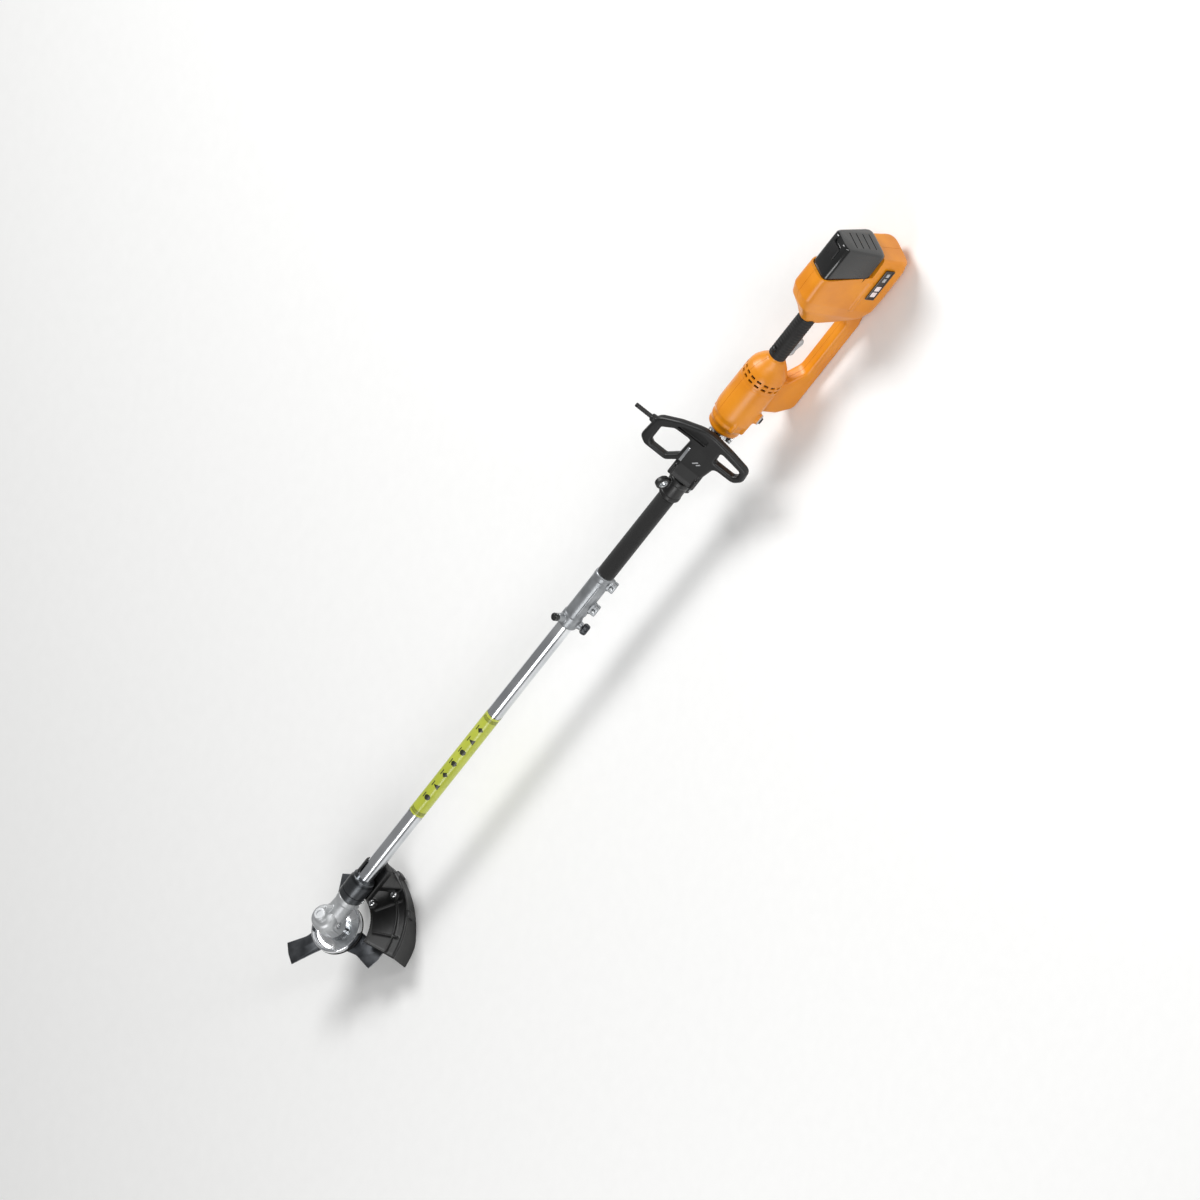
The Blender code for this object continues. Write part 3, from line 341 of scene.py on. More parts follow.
def bareMetal(name, look):
    # polished, ground, brushed or plated metal: fine lines from the tool, smudges from handling
    material, tree, shader, place = startMaterial(name, {"Metallic": 1.0,
                                                         "Anisotropic": look["anisotropy"],
                                                         "Coat Weight": look["coat"]})
    stretch = addNode(tree, "ShaderNodeMapping", {"Scale": look["stretch"]}, {"Vector": place})
    lines = addNode(tree, "ShaderNodeTexNoise", {"Scale": 1 / look["lineSize"], "Detail": 3.0},
                    {"Vector": stretch.outputs["Vector"]}).outputs["Fac"]
    smudge = addNode(tree, "ShaderNodeTexNoise", {"Scale": 1 / look["smudgeSize"], "Detail": 5.0},
                     {"Vector": place}).outputs["Fac"]
    both = addNode(tree, "ShaderNodeMath", {"operation": "MULTIPLY_ADD", 1: 0.35},
                   {0: lines, 2: smudge})
    haze = addNode(tree, "ShaderNodeMapRange", {"From Min": 0.35, "From Max": 0.7},
                   {"Value": smudge})
    tone = addNode(tree, "ShaderNodeMix", {"data_type": "RGBA", 6: hexColour(look["dark"]),
                                           7: hexColour(look["light"])},
                   {0: haze.outputs["Result"]})
    tree.links.new(tone.outputs[2], shader.inputs["Base Color"])
    rough = addNode(tree, "ShaderNodeMapRange", {"From Min": 0.4, "From Max": 0.95,
                                                 "To Min": look["roughLow"],
                                                 "To Max": look["roughHigh"]},
                    {"Value": both.outputs["Value"]})
    tree.links.new(rough.outputs["Result"], shader.inputs["Roughness"])
    bump = addNode(tree, "ShaderNodeBump", {"Strength": look["bump"],
                                            "Distance": look["lineSize"] * 0.1},
                   {"Height": lines})
    tree.links.new(bump.outputs["Normal"], shader.inputs["Normal"])
    return material


def castMetal(name, look):
    # die-cast alloy: shot-blasted grain, patchy in tone, bright on its edges
    material, tree, shader, place = startMaterial(name, {"Metallic": look["metallic"]})
    grain = addNode(tree, "ShaderNodeTexNoise", {"Scale": 1 / look["grainSize"], "Detail": 3.0},
                    {"Vector": place}).outputs["Fac"]
    cloud = addNode(tree, "ShaderNodeTexNoise", {"Scale": 1 / look["cloudSize"], "Detail": 4.0},
                    {"Vector": place}).outputs["Fac"]
    edge = addNode(tree, "ShaderNodeNewGeometry").outputs["Pointiness"]
    patch = addNode(tree, "ShaderNodeMapRange", {"From Min": 0.35, "From Max": 0.7},
                    {"Value": cloud})
    base = addNode(tree, "ShaderNodeMix", {"data_type": "RGBA", 6: hexColour(look["dark"]),
                                           7: hexColour(look["light"])},
                   {0: patch.outputs["Result"]})
    worn = addNode(tree, "ShaderNodeMapRange", {"From Min": 0.51, "From Max": 0.6, "To Min": 0.0,
                                                "To Max": 0.7}, {"Value": edge})
    tone = addNode(tree, "ShaderNodeMix", {"data_type": "RGBA", 7: hexColour(look["worn"])},
                   {0: worn.outputs["Result"], 6: base.outputs[2]})
    tree.links.new(tone.outputs[2], shader.inputs["Base Color"])
    rough = addNode(tree, "ShaderNodeMapRange", {"From Min": 0.3, "From Max": 0.7,
                                                 "To Min": look["roughLow"],
                                                 "To Max": look["roughHigh"]}, {"Value": grain})
    tree.links.new(rough.outputs["Result"], shader.inputs["Roughness"])
    bump = addNode(tree, "ShaderNodeBump", {"Strength": 0.35, "Distance": look["grainSize"] * 0.2},
                   {"Height": grain})
    tree.links.new(bump.outputs["Normal"], shader.inputs["Normal"])
    return material


yellowNylon = mouldedPlastic("glass-filled nylon, yellow", {
    "dark": "#D98208", "light": "#E6900F", "worn": "#F2AC3A", "wear": 0.3, "ior": 1.53,
    "coat": 0.12, "coatRoughness": 0.25, "flowSize": 0.06, "grainSize": 0.0012,
    "grainStrength": 0.25, "roughLow": 0.3, "roughHigh": 0.42})
blackNylon = mouldedPlastic("glass-filled nylon, black", {
    "dark": "#040404", "light": "#0A0A0A", "worn": "#2A2A2B", "wear": 0.4, "ior": 1.53,
    "coat": 0.05, "coatRoughness": 0.3, "flowSize": 0.04, "grainSize": 0.0012,
    "grainStrength": 0.35, "roughLow": 0.36, "roughHigh": 0.5})
glossBlack = mouldedPlastic("ABS, gloss black", {
    "dark": "#050606", "light": "#0C0D0D", "worn": "#222324", "wear": 0.3, "ior": 1.54,
    "coat": 0.5, "coatRoughness": 0.12, "flowSize": 0.05, "grainSize": 0.0015,
    "grainStrength": 0.08, "roughLow": 0.16, "roughHigh": 0.28})
greyNylon = mouldedPlastic("nylon, grey", {
    "dark": "#9A9B9E", "light": "#B2B3B5", "worn": "#D0D1D2", "wear": 0.4, "ior": 1.53,
    "coat": 0.05, "coatRoughness": 0.3, "flowSize": 0.02, "grainSize": 0.001,
    "grainStrength": 0.3, "roughLow": 0.35, "roughHigh": 0.5})
softRubber = mouldedPlastic("thermoplastic rubber, black", {
    "dark": "#0A0908", "light": "#141211", "worn": "#302C2A", "wear": 0.35, "ior": 1.5,
    "coat": 0.0, "coatRoughness": 0.5, "flowSize": 0.03, "grainSize": 0.0014,
    "grainStrength": 0.5, "roughLow": 0.5, "roughHigh": 0.68})
evaFoam = foamSkin("EVA foam, black", {
    "dark": "#070707", "light": "#131313", "cellSize": 0.0022, "sheen": 0.15, "roughLow": 0.6,
    "roughHigh": 0.85})  # real cells are near 0.3 mm, drawn coarser so that they show
polishedTube = bareMetal("polished aluminium tube", {
    "dark": "#C9CCD0", "light": "#EEF0F2", "lineSize": 0.0012, "stretch": (1, 1, 0.03),
    "smudgeSize": 0.09, "roughLow": 0.1, "roughHigh": 0.24, "bump": 0.05, "anisotropy": 0.0,
    "coat": 0.0})
brightChrome = bareMetal("chrome plate on steel", {
    "dark": "#DADCDF", "light": "#F6F7F8", "lineSize": 0.002, "stretch": (1, 1, 1),
    "smudgeSize": 0.03, "roughLow": 0.05, "roughHigh": 0.14, "bump": 0.03, "anisotropy": 0.0,
    "coat": 0.0})
zincSteel = bareMetal("zinc-plated steel", {
    "dark": "#9FA2A4", "light": "#C9CBCC", "lineSize": 0.0008, "stretch": (1, 1, 1),
    "smudgeSize": 0.008, "roughLow": 0.24, "roughHigh": 0.42, "bump": 0.1, "anisotropy": 0.0,
    "coat": 0.0})
groundSteel = bareMetal("ground bearing steel", {
    "dark": "#B4B6B8", "light": "#D8DADB", "lineSize": 0.0006, "stretch": (1, 1, 1),
    "smudgeSize": 0.01, "roughLow": 0.14, "roughHigh": 0.3, "bump": 0.08, "anisotropy": 0.3,
    "coat": 0.0})
bladeSteel = bareMetal("hardened blade steel, dark", {
    "dark": "#3F4144", "light": "#5B5D60", "lineSize": 0.0009, "stretch": (0.12, 1, 1),
    "smudgeSize": 0.03, "roughLow": 0.3, "roughHigh": 0.48, "bump": 0.15, "anisotropy": 0.2,
    "coat": 0.0})
sharpSteel = bareMetal("ground cutting edge", {
    "dark": "#8B8D90", "light": "#B5B7B9", "lineSize": 0.0007, "stretch": (1, 1, 1),
    "smudgeSize": 0.01, "roughLow": 0.2, "roughHigh": 0.35, "bump": 0.1, "anisotropy": 0.2,
    "coat": 0.0})
castAluminium = castMetal("die-cast aluminium", {
    "dark": "#B4B6B8", "light": "#D0D2D3", "worn": "#ECEDEE", "metallic": 0.7,
    "grainSize": 0.0011, "cloudSize": 0.03, "roughLow": 0.38, "roughHigh": 0.55})
couplerAluminium = castMetal("die-cast aluminium, tumbled", {
    "dark": "#8E9194", "light": "#ABAEB1", "worn": "#D2D4D6", "metallic": 0.8,
    "grainSize": 0.001, "cloudSize": 0.025, "roughLow": 0.32, "roughHigh": 0.5})
darkAluminium = castMetal("anodised aluminium, dark grey", {
    "dark": "#26282A", "light": "#3A3C3F", "worn": "#7C7F82", "metallic": 0.85,
    "grainSize": 0.0009, "cloudSize": 0.02, "roughLow": 0.26, "roughHigh": 0.4})
laminations = bareMetal("lacquered steel laminations", {
    "dark": "#3A332E", "light": "#5A4F47", "lineSize": 0.0005, "stretch": (1, 0.02, 0.02),
    "smudgeSize": 0.02, "roughLow": 0.35, "roughHigh": 0.5, "bump": 0.4, "anisotropy": 0.0,
    "coat": 0.2})
cellWrap = mouldedPlastic("PVC shrink wrap, blue", {
    "dark": "#1C4F8C", "light": "#2B66AB", "worn": "#6F9CCF", "wear": 0.3, "ior": 1.53,
    "coat": 0.3, "coatRoughness": 0.15, "flowSize": 0.02, "grainSize": 0.002,
    "grainStrength": 0.1, "roughLow": 0.2, "roughHigh": 0.35})
solderMask = mouldedPlastic("solder mask on FR4, green", {
    "dark": "#0C4A25", "light": "#12602F", "worn": "#B08D45", "wear": 0.3, "ior": 1.5,
    "coat": 0.4, "coatRoughness": 0.2, "flowSize": 0.006, "grainSize": 0.0008,
    "grainStrength": 0.2, "roughLow": 0.25, "roughHigh": 0.4})
print("materials ready")


# Shared ways of placing and turning

def spanBack(node):
    low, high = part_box(node)
    return gearPoint.x - high[0], gearPoint.x - low[0]


def pieceName(node):
    first, *others = node.split("_")
    return first + "".join(word.title() for word in others)


def hexRing(apothem, z, steps):
    ring = []
    for i in range(steps):
        angle = 2 * math.pi * i / steps
        offset = (angle + math.pi / 6) % (math.pi / 3) - math.pi / 6
        radius = apothem / math.cos(offset)
        ring.append((radius * math.cos(angle), radius * math.sin(angle), z))
    return ring


def sleeve(name, front, back, outer, bore, ease=0.0006):
    # a plain tube along the shaft with eased ends
    return lathe(name, [(front, outer - ease), (front + ease, outer), (back - ease, outer),
                        (back, outer - ease), (back, bore), (front, bore)], backFrame, 96, True)


def ribbed(front, back, radius, depth, pitch):
    # (z, radius) rows that rise and fall once each pitch
    rows = []
    count = round((back - front) / pitch)
    step = (back - front) / count
    for i in range(count):
        start = front + i * step
        rows += [(start, radius - depth), (start + step * 0.18, radius - depth),
                 (start + step * 0.34, radius - depth * 0.25), (start + step * 0.55, radius),
                 (start + step * 0.76, radius - depth * 0.25)]
    return rows + [(back, radius - depth)]


# Screws take their place, length and widths from the node that each one stands for

screwLook = {"steps": 36, "socketShare": 0.5, "socketDepth": 0.0016, "ease": 0.0005}


def remakeScrew(node, axis, body, domed=False):
    turn = axis.to_track_quat("Z", "Y").to_matrix()
    spots = [turn.transposed() @ vertex.co for vertex in frame["nodes"][node].data.vertices]
    middle = [(min(s[k] for s in spots) + max(s[k] for s in spots)) / 2 for k in range(2)]
    spots = [(s.z, math.hypot(s.x - middle[0], s.y - middle[1])) for s in spots]
    low, top = min(z for z, r in spots), max(z for z, r in spots)
    headRadius = max(r for z, r in spots)
    seat = min(z for z, r in spots if r > headRadius * 0.98)
    shank = max(r for z, r in spots if z < seat - 0.0001)
    origin = turn @ Vector((middle[0], middle[1], seat))
    steps = screwLook["steps"]
    ease = screwLook["ease"]
    socket = headRadius * screwLook["socketShare"]
    height = top - seat
    shoulder = height * (0.35 if domed else 0.85)
    rings = [circleRing(r, z, steps) for z, r in (
        (low - seat, shank * 0.6), (low - seat + ease, shank * 0.96), (-0.00005, shank * 0.96),
        (0, headRadius - ease / 2), (ease / 2, headRadius), (shoulder, headRadius),
        ((shoulder + height) / 2, headRadius * 0.93), (height, headRadius * 0.78))]
    rings += [hexRing(socket, height, steps),
              hexRing(socket, height - screwLook["socketDepth"], steps)]
    where = Matrix.Translation(origin) @ turn.to_4x4()
    piece = loft(pieceName(node), rings, where)
    return dress(piece, zincSteel, body, "zinc_steel", node)


loopFrame = earFrame @ at(-loopMiddle, 0, 0)
earUp = earFrame.to_3x3() @ Vector((0, 0, 1))
down = Vector((0, 0, -1))
right = Vector((0, -1, 0))
for node, axis, body in (
        ("front_ear_screw", earUp, "handle_unit"), ("rear_ear_screw", earUp, "handle_unit"),
        ("collar_screw", earUp, "handle_unit"), ("hanger_screw", right, "handle_unit"),
        ("housing_screw_1", right, "handle_unit"), ("housing_screw_2", right, "handle_unit"),
        ("guard_bolt_1", down, "lower_unit"), ("guard_bolt_2", down, "lower_unit"),
        ("loop_screw_1", -earUp, "front_handle"), ("loop_screw_2", -earUp, "front_handle"),
        ("loop_screw_3", -earUp, "front_handle"), ("loop_screw_4", -earUp, "front_handle")):
    remakeScrew(node, axis, body)
print("screws done")


# Gear head: a cast bowl, a neck over the tube and a top boss, flowing together

gearHead = {
    "bowl": [(-0.0180, 0), (-0.0180, 0.0212), (-0.0168, 0.0226), (-0.0140, 0.0240),
             (0.0150, 0.0240), (0.0205, 0.0238), (0.0250, 0.0222), (0.0285, 0.0190),
             (0.0300, 0.0140), (0.0315, 0.0118), (0.0385, 0.0115), (0.0400, 0.0100), (0.0400, 0)],
    "neckFront": 0.010, "neckBack": 0.0635, "neckStart": 0.0200, "neckEnd": 0.0184,
    "plugTurn": 122, "plugRadius": 0.0062, "finTurns": (62, 90, -62, -90, 0, 30, -30)}


def makeGearHead():
    look = gearHead
    parts = [lathe("bowl", look["bowl"], headFrame, 72),
             lathe("neck", [(look["neckFront"], look["neckStart"]),
                            (look["neckBack"] - 0.0120, look["neckEnd"]),
                            (look["neckBack"] - 0.0110, look["neckEnd"] + 0.0012),
                            (look["neckBack"] - 0.0010, look["neckEnd"] + 0.0012),
                            (look["neckBack"], look["neckEnd"])], bladeBackFrame, 64),
             block("web", (0.030, 0.0050, 0.020), bladeBackFrame @ at(0.0160, 0, 0.0300)
                   @ turnY(14), 0.0015)]
    for turn in look["finTurns"]:
        parts.append(block("fin", (0.0040, 0.0028, 0.0240), headFrame @ turnZ(turn)
                           @ at(0.0232, 0, 0.0010), 0.0010))
    for side in (1, -1):
        parts.append(lathe("ear", [(-0.0060, 0.0048), (0.0060, 0.0048)], bladeBackFrame
                           @ at(-0.0150, side * 0.0090, 0.0540) @ turnX(90), 32))
    plugFrame = headFrame @ turnZ(look["plugTurn"]) @ at(0.0180, 0, 0.0060) @ turnY(90)
    parts.append(lathe("plugBoss", [(0, 0.0092), (0.0058, 0.0086), (0.0066, 0.0078)],
                       plugFrame, 40))
    head = melt("gearHead", parts, 0.0007, 3)
    carve(head, [
        lathe("tubeRoom", [(0.050, 0.0143), (0.090, 0.0143)], bladeBackFrame, 64),
        lathe("plugRoom", [(0.0036, look["plugRadius"]), (0.0200, look["plugRadius"])],
              plugFrame, 40),
        lathe("underside", [(-0.0300, 0.0188), (-0.0168, 0.0188)], headFrame, 64),
        lathe("topDimple", [(0.0386, 0.0050), (0.0450, 0.0060)], headFrame, 40)])
    dress(head, castAluminium, "lower_unit", "cast_aluminium", "gear_head")
    plug = lathe("greasePlug", [(0.0030, 0.0046), (0.0046, 0.0046), (0.0058, 0.0041),
                                (0.0066, 0.0028), (0.0069, 0.0010)], plugFrame, 40)
    dress(plug, brightChrome, "lower_unit", "bright_chrome")
    clampScrew = lathe("neckClampScrew", [(-0.0085, 0.0030), (-0.0080, 0.0034),
                                          (-0.0064, 0.0034), (-0.0064, 0.0018),
                                          (0.0064, 0.0018), (0.0064, 0.0034),
                                          (0.0080, 0.0034), (0.0085, 0.0030)],
                       bladeBackFrame @ at(-0.0150, 0, 0.0540) @ turnX(90), 36)
    dress(clampScrew, zincSteel, "lower_unit", "zinc_steel")


makeGearHead()


# Blade drive: polished cup over the blade, the blade itself, the flange and nut beneath

cup = {"rim": 0.0460, "wall": 0.0024, "top": -0.0215, "seat": -0.0357, "bore": 0.0063,
       "hubTop": -0.0183, "hub": 0.0120}


def makeCup():
    rim, seat, top = cup["rim"], cup["seat"], cup["top"]
    inner = rim - cup["wall"]
    profile = [(top, rim - 0.0004), (top - 0.0005, rim), (-0.0285, rim), (-0.0303, rim - 0.0005),
               (-0.0328, rim - 0.0022), (-0.0341, rim - 0.0036), (-0.0347, 0.0400),
               (-0.0352, 0.0330), (seat, 0.0285), (seat, cup["bore"]),
               (cup["hubTop"], cup["bore"]), (cup["hubTop"], cup["hub"]),
               (-0.0286, 0.0123), (-0.0294, 0.0134), (-0.0302, 0.0240), (-0.0309, 0.0370),
               (-0.0303, 0.0392), (-0.0284, 0.0415), (-0.0262, inner - 0.0006),
               (top - 0.0006, inner), (top, inner + 0.0004)]
    piece = lathe("flangeCup", profile, headFrame, 128, True, 28)
    dress(piece, brightChrome, "blade_set", "bright_chrome", "upper_flange")
    seal = lathe("cupSeal", [(-0.0343, 0.0437), (-0.0337, 0.0447), (-0.0343, 0.0457),
                             (-0.0354, 0.0457), (-0.0354, 0.0434)], headFrame, 96, True)
    dress(seal, softRubber, "blade_set", "soft_rubber")
    lower = lathe("lowerFlange", [(-0.0383, 0.0063), (-0.0383, 0.0246), (-0.0388, 0.0250),
                                  (-0.0404, 0.0250), (-0.0412, 0.0244), (-0.0424, 0.0208),
                                  (-0.0430, 0.0196), (-0.0430, 0.0063)], headFrame, 96, True)
    dress(lower, zincSteel, "blade_set", "zinc_steel", "lower_flange")


makeCup()

blade = {"teeth": 3, "radius": 0.1015, "root": 0.030, "halfTip": 12.0, "firstTooth": 70,
         "thickness": 0.0020, "edgeWidth": 0.0007, "drop": 0.037, "bore": 0.0063}


def bladeOutline():
    corners = []
    for tooth in range(blade["teeth"]):
        middle = 180 - blade["firstTooth"] - 360 / blade["teeth"] * tooth
        for share, turn, fillet in (
                (blade["root"] / blade["radius"], 3.6, 0.010), (0.62, 1.55, 0.030),
                (1.0, 1.0, 0.0012), (0.985, 0.0, 0.040), (0.97, -1.0, 0.0012),
                (0.60, -1.25, 0.030)):
            angle = math.radians(middle + turn * blade["halfTip"])
            radius = blade["radius"] * share
            corners.append((radius * math.cos(angle), radius * math.sin(angle), fillet))
    return rounded(corners, 6)


def makeBlade():
    hole = [(x, y) for x, y, z in circleRing(blade["bore"], 0, 48)]
    piece = slab("cuttingBlade", [bladeOutline(), hole], blade["thickness"],
                 headFrame @ at(0, 0, -blade["drop"]), blade["edgeWidth"], 1)
    dress(piece, bladeSteel, "blade_set", "blade_steel", "cutting_blade")
    piece.data.materials.append(sharpSteel)
    for face in piece.data.polygons:
        if abs(face.normal.z) < 0.995 and face.center.xy.length > blade["root"]:
            face.material_index = 1
    nut = loft("bladeNut", [hexRing(0.0088, -0.0513, 36), hexRing(0.0095, -0.0508, 36),
                            hexRing(0.0095, -0.0440, 36), hexRing(0.0088, -0.0434, 36)],
               headFrame)
    carve(nut, [lathe("nutBore", [(-0.06, 0.0063), (-0.03, 0.0063)], headFrame, 40)])
    dress(nut, zincSteel, "blade_set", "zinc_steel", "blade_nut")


makeBlade()
print("blade and gear head done")


# Guard: fan-shaped moulding with a skirt, ribs, nubs on its rim and a saddle under the tube

guard = {"radius": 0.137, "inner": 0.068, "start": -25, "end": 62, "top": -0.0175,
         "wall": 0.0030, "skirt": 0.045, "ribOuter": 0.1190, "ribInner": 0.1160,
         "webs": (-14, 16, 46), "bolts": ((0.1174, 8.8), (0.0763, 5.3)), "nubs": (-5.3, 27.5)}


def arc(radius, start, end, steps=36):
    # 0 degrees is straight back from the blade axis and left is positive
    angles = [math.radians(180 - (start + (end - start) * i / steps)) for i in range(steps + 1)]
    return [(radius * math.cos(angle), radius * math.sin(angle)) for angle in angles]


def band(name, outer, inner, start, end, height, top, edge=0.0006):
    outline = arc(outer, start, end) + arc(inner, end, start)
    return slab(name, [outline], height, headFrame @ at(0, 0, top - height / 2), edge)


def makeGuard():
    look = guard
    top, start, end = look["top"], look["start"], look["end"]
    parts = [band("fan", look["radius"], look["inner"], start, end, look["wall"], top),
             band("skirt", look["radius"] - 0.0006, look["radius"] - 0.0040, start + 0.3,
                  end - 0.3, look["skirt"], top - 0.0010),
             band("rib", look["ribOuter"], look["ribInner"], 8.8, end - 0.5, 0.0062,
                  top + 0.0042),
             band("innerLip", look["inner"] + 0.0028, look["inner"], start + 0.4, end - 0.4,
                  0.0070, top + 0.0022),
             band("outerLip", look["radius"] - 0.0004, look["radius"] - 0.0034, start + 0.4,
                  end - 0.4, 0.0050, top + 0.0014),
             band("endLip", look["radius"] - 0.002, look["inner"] + 0.002, end - 1.9, end - 0.4,
                  0.0045, top + 0.0012),
             block("tongue", (0.0740, 0.0370, 0.0115), toolFrame @ at(-0.1125, 0, -0.0240),
                   0.0030, 3),
             block("riser", (0.0115, 0.0330, 0.0500), toolFrame @ at(-0.1060, 0, -0.0490),
                   0.0020)]
    middle = (look["radius"] + look["inner"]) / 2
    for spread in look["webs"]:
        parts.append(block("web", (look["radius"] - look["inner"] - 0.018, 0.0028, 0.0062),
                           headFrame @ turnZ(180 - spread) @ at(middle, 0, top + 0.0008),
                           0.0006))
    for spread in look["nubs"]:
        parts.append(block("nub", (0.0100, 0.0140, 0.0190), headFrame @ turnZ(180 - spread)
                           @ at(look["radius"] + 0.0005, 0, top - 0.0080), 0.0025))
    for radius, spread in look["bolts"]:
        boss = headFrame @ turnZ(180 - spread) @ at(radius, 0, 0)
        parts.append(lathe("boltBoss", [(top - 0.0050, 0.0078), (top + 0.0028, 0.0074),
                                        (top + 0.0036, 0.0066)], boss, 36))
    saddle = []
    for i in range(13):  # a strap up the far side of the tube
        turn = math.radians(-20 - 160 * i / 12)
        saddle.append([(radius * math.cos(turn), radius * math.sin(turn), back)
                       for radius, back in ((0.0149, 0.118), (0.0182, 0.118), (0.0182, 0.146),
                                            (0.0149, 0.146))])
    parts.append(loft("saddle", saddle, backFrame))
    piece = melt("guardMoulding", parts, 0.0011, 3)
    cutters = [lathe("collarRoom", [(0.062, 0.0226), (0.1145, 0.0226), (0.1146, 0.0144),
                                    (0.190, 0.0144)], backFrame, 72),
               block("ground", (0.5, 0.5, 0.1), toolFrame @ at(-0.1, 0, -0.0998 - 0.05))]
    for node in ("guard_bolt_1", "guard_bolt_2"):
        front, back = spanBack(node)
        cutters.append(lathe("boltWay", [(-0.05, 0.0026), (-0.016, 0.0026)],
                             toolFrame @ at(-(front + back) / 2, 0, 0), 24))
    carve(piece, cutters)
    dress(piece, blackNylon, "lower_unit", "black_nylon", "guard")
    for i, (radius, spread) in enumerate(look["bolts"]):
        boss = headFrame @ turnZ(180 - spread) @ at(radius, 0, look["top"])
        bolt = loft(f"guardDomeBolt{i + 1}", [circleRing(r, z, 36) for z, r in (
            (0.0030, 0.0052), (0.0044, 0.0054), (0.0058, 0.0047), (0.0066, 0.0034))]
            + [hexRing(0.0021, 0.0067, 36), hexRing(0.0020, 0.0052, 36)], boss)
        dress(bolt, brightChrome, "lower_unit", "bright_chrome")


makeGuard()

collar = {"outer": 0.0222, "waist": 0.0205, "bore": 0.0143}


def makeGuardCollar():
    front, back = spanBack("guard_collar")
    outer, waist = collar["outer"], collar["waist"]
    profile = [(front, waist - 0.0008), (front + 0.0008, waist), (front + 0.0030, outer),
               (front + 0.0140, outer), (front + 0.0144, outer - 0.0006),
               (front + 0.0156, outer - 0.0006), (front + 0.0160, outer), (back - 0.0095, outer),
               (back - 0.0060, waist), (back - 0.0010, waist), (back, waist - 0.0010),
               (back, collar["bore"]), (front, collar["bore"])]
    piece = lathe("guardCollar", profile, backFrame, 96, True)
    carve(piece, [block("slit", (0.0014, 0.012, 0.060), backFrame @ turnZ(118)
                        @ at(0, 0.0200, (front + back) / 2))])
    dress(piece, darkAluminium, "lower_unit", "dark_aluminium", "guard_collar")
    screw = loft("collarSideScrew", [circleRing(r, z, 32) for z, r in (
        (0.0195, 0.0020), (0.0216, 0.0020), (0.0217, 0.0036), (0.0240, 0.0036),
        (0.0247, 0.0028))] + [hexRing(0.0016, 0.0247, 32), hexRing(0.0016, 0.0234, 32)],
        earFrame @ at(-(front + 0.0085), 0, 0) @ turnX(-90))
    dress(screw, zincSteel, "lower_unit", "zinc_steel")


makeGuardCollar()
print("guard done")


# Tubes, label and grip foam

tube = {"outer": 0.0140, "bore": 0.0125}
for node, body in (("lower_tube", "lower_unit"), ("upper_tube", "handle_unit")):
    front, back = spanBack(node)
    dress(sleeve(pieceName(node), front, back, tube["outer"], tube["bore"], 0.0003),
          polishedTube, body, "polished_tube", node)

label = {"front": 0.283, "back": 0.533, "radius": 0.01422, "thickness": 0.00012,
         "middleTurn": 60, "halfTurn": 150, "markTurn": 33, "markReach": 0.0055}
labelVinyl = mouldedPlastic("vinyl label, yellow-green", {
    "dark": "#A9B325", "light": "#B9C23A", "worn": "#D2D96A", "wear": 0.2, "ior": 1.5,
    "coat": 0.4, "coatRoughness": 0.15, "flowSize": 0.05, "grainSize": 0.0015,
    "grainStrength": 0.05, "roughLow": 0.22, "roughHigh": 0.34})
labelInk = mouldedPlastic("printing ink on vinyl, black", {
    "dark": "#15160C", "light": "#22240F", "worn": "#3A3C22", "wear": 0.2, "ior": 1.5,
    "coat": 0.3, "coatRoughness": 0.2, "flowSize": 0.01, "grainSize": 0.0008,
    "grainStrength": 0.05, "roughLow": 0.3, "roughHigh": 0.45})


def wrapped(work, turnLow, turnHigh, reach, inner, outer, steps):
    # a patch curved round the tube: reach(share) gives its front and back at each turn
    rings = []
    for i in range(steps + 1):
        share = i / steps
        turn = math.radians(turnLow + (turnHigh - turnLow) * share)
        low, high = reach(share)
        rings.append([(radius * math.cos(turn), radius * math.sin(turn), back)
                      for radius, back in ((inner, low), (inner, high), (outer, high),
                                           (outer, low))])
    skin(work, rings)


def makeLabel():
    inner = tube["outer"] + 0.00004
    work = bmesh.new()
    wrapped(work, label["middleTurn"] - label["halfTurn"],
            label["middleTurn"] + label["halfTurn"],
            lambda share: (label["front"], label["back"]), inner, label["radius"], 72)
    dress(putMesh("tubeLabel", work, backFrame), labelVinyl, "lower_unit", "yellow_nylon")
    work = bmesh.new()
    over = label["radius"] + label["thickness"]
    reach = label["markReach"]
    shapes = (lambda s: math.sqrt(max(1 - (2 * s - 1) ** 2, 0.01)),  # disc
              lambda s: max(s, 0.05),  # triangle
              lambda s: max(1 - abs(2 * s - 1), 0.05),  # diamond
              lambda s: 0.9 if 0.15 < s < 0.85 else 0.35)  # stepped block
    pitch = (label["back"] - label["front"] - 0.050) / 7
    for i in range(7):
        middle = label["front"] + 0.030 + pitch * (i + 0.5)
        shape = shapes[i % len(shapes)]
        turn = label["markTurn"]
        wrapped(work, turn - 22, turn + 22,
                lambda s: (middle - reach * shape(s), middle + reach * shape(s)),
                label["radius"] + 0.00002, over, 16)
        wrapped(work, turn - 34, turn - 27, lambda s: (middle - reach, middle + reach),
                label["radius"] + 0.00002, over, 4)
    for end in (label["front"] + 0.006, label["back"] - 0.010):
        for row in range(4):
            wrapped(work, -20, 110, lambda s: (end + row * 0.0020 - 0.002,
                                               end + row * 0.0020 - 0.0012),
                    label["radius"] + 0.00002, over, 40)
    dress(putMesh("labelMarks", work, backFrame), labelInk, "lower_unit", "black_nylon")


makeLabel()

foam = {"radius": 0.0158, "bore": 0.0143, "endRadius": 0.0150, "softEnd": 0.0040}


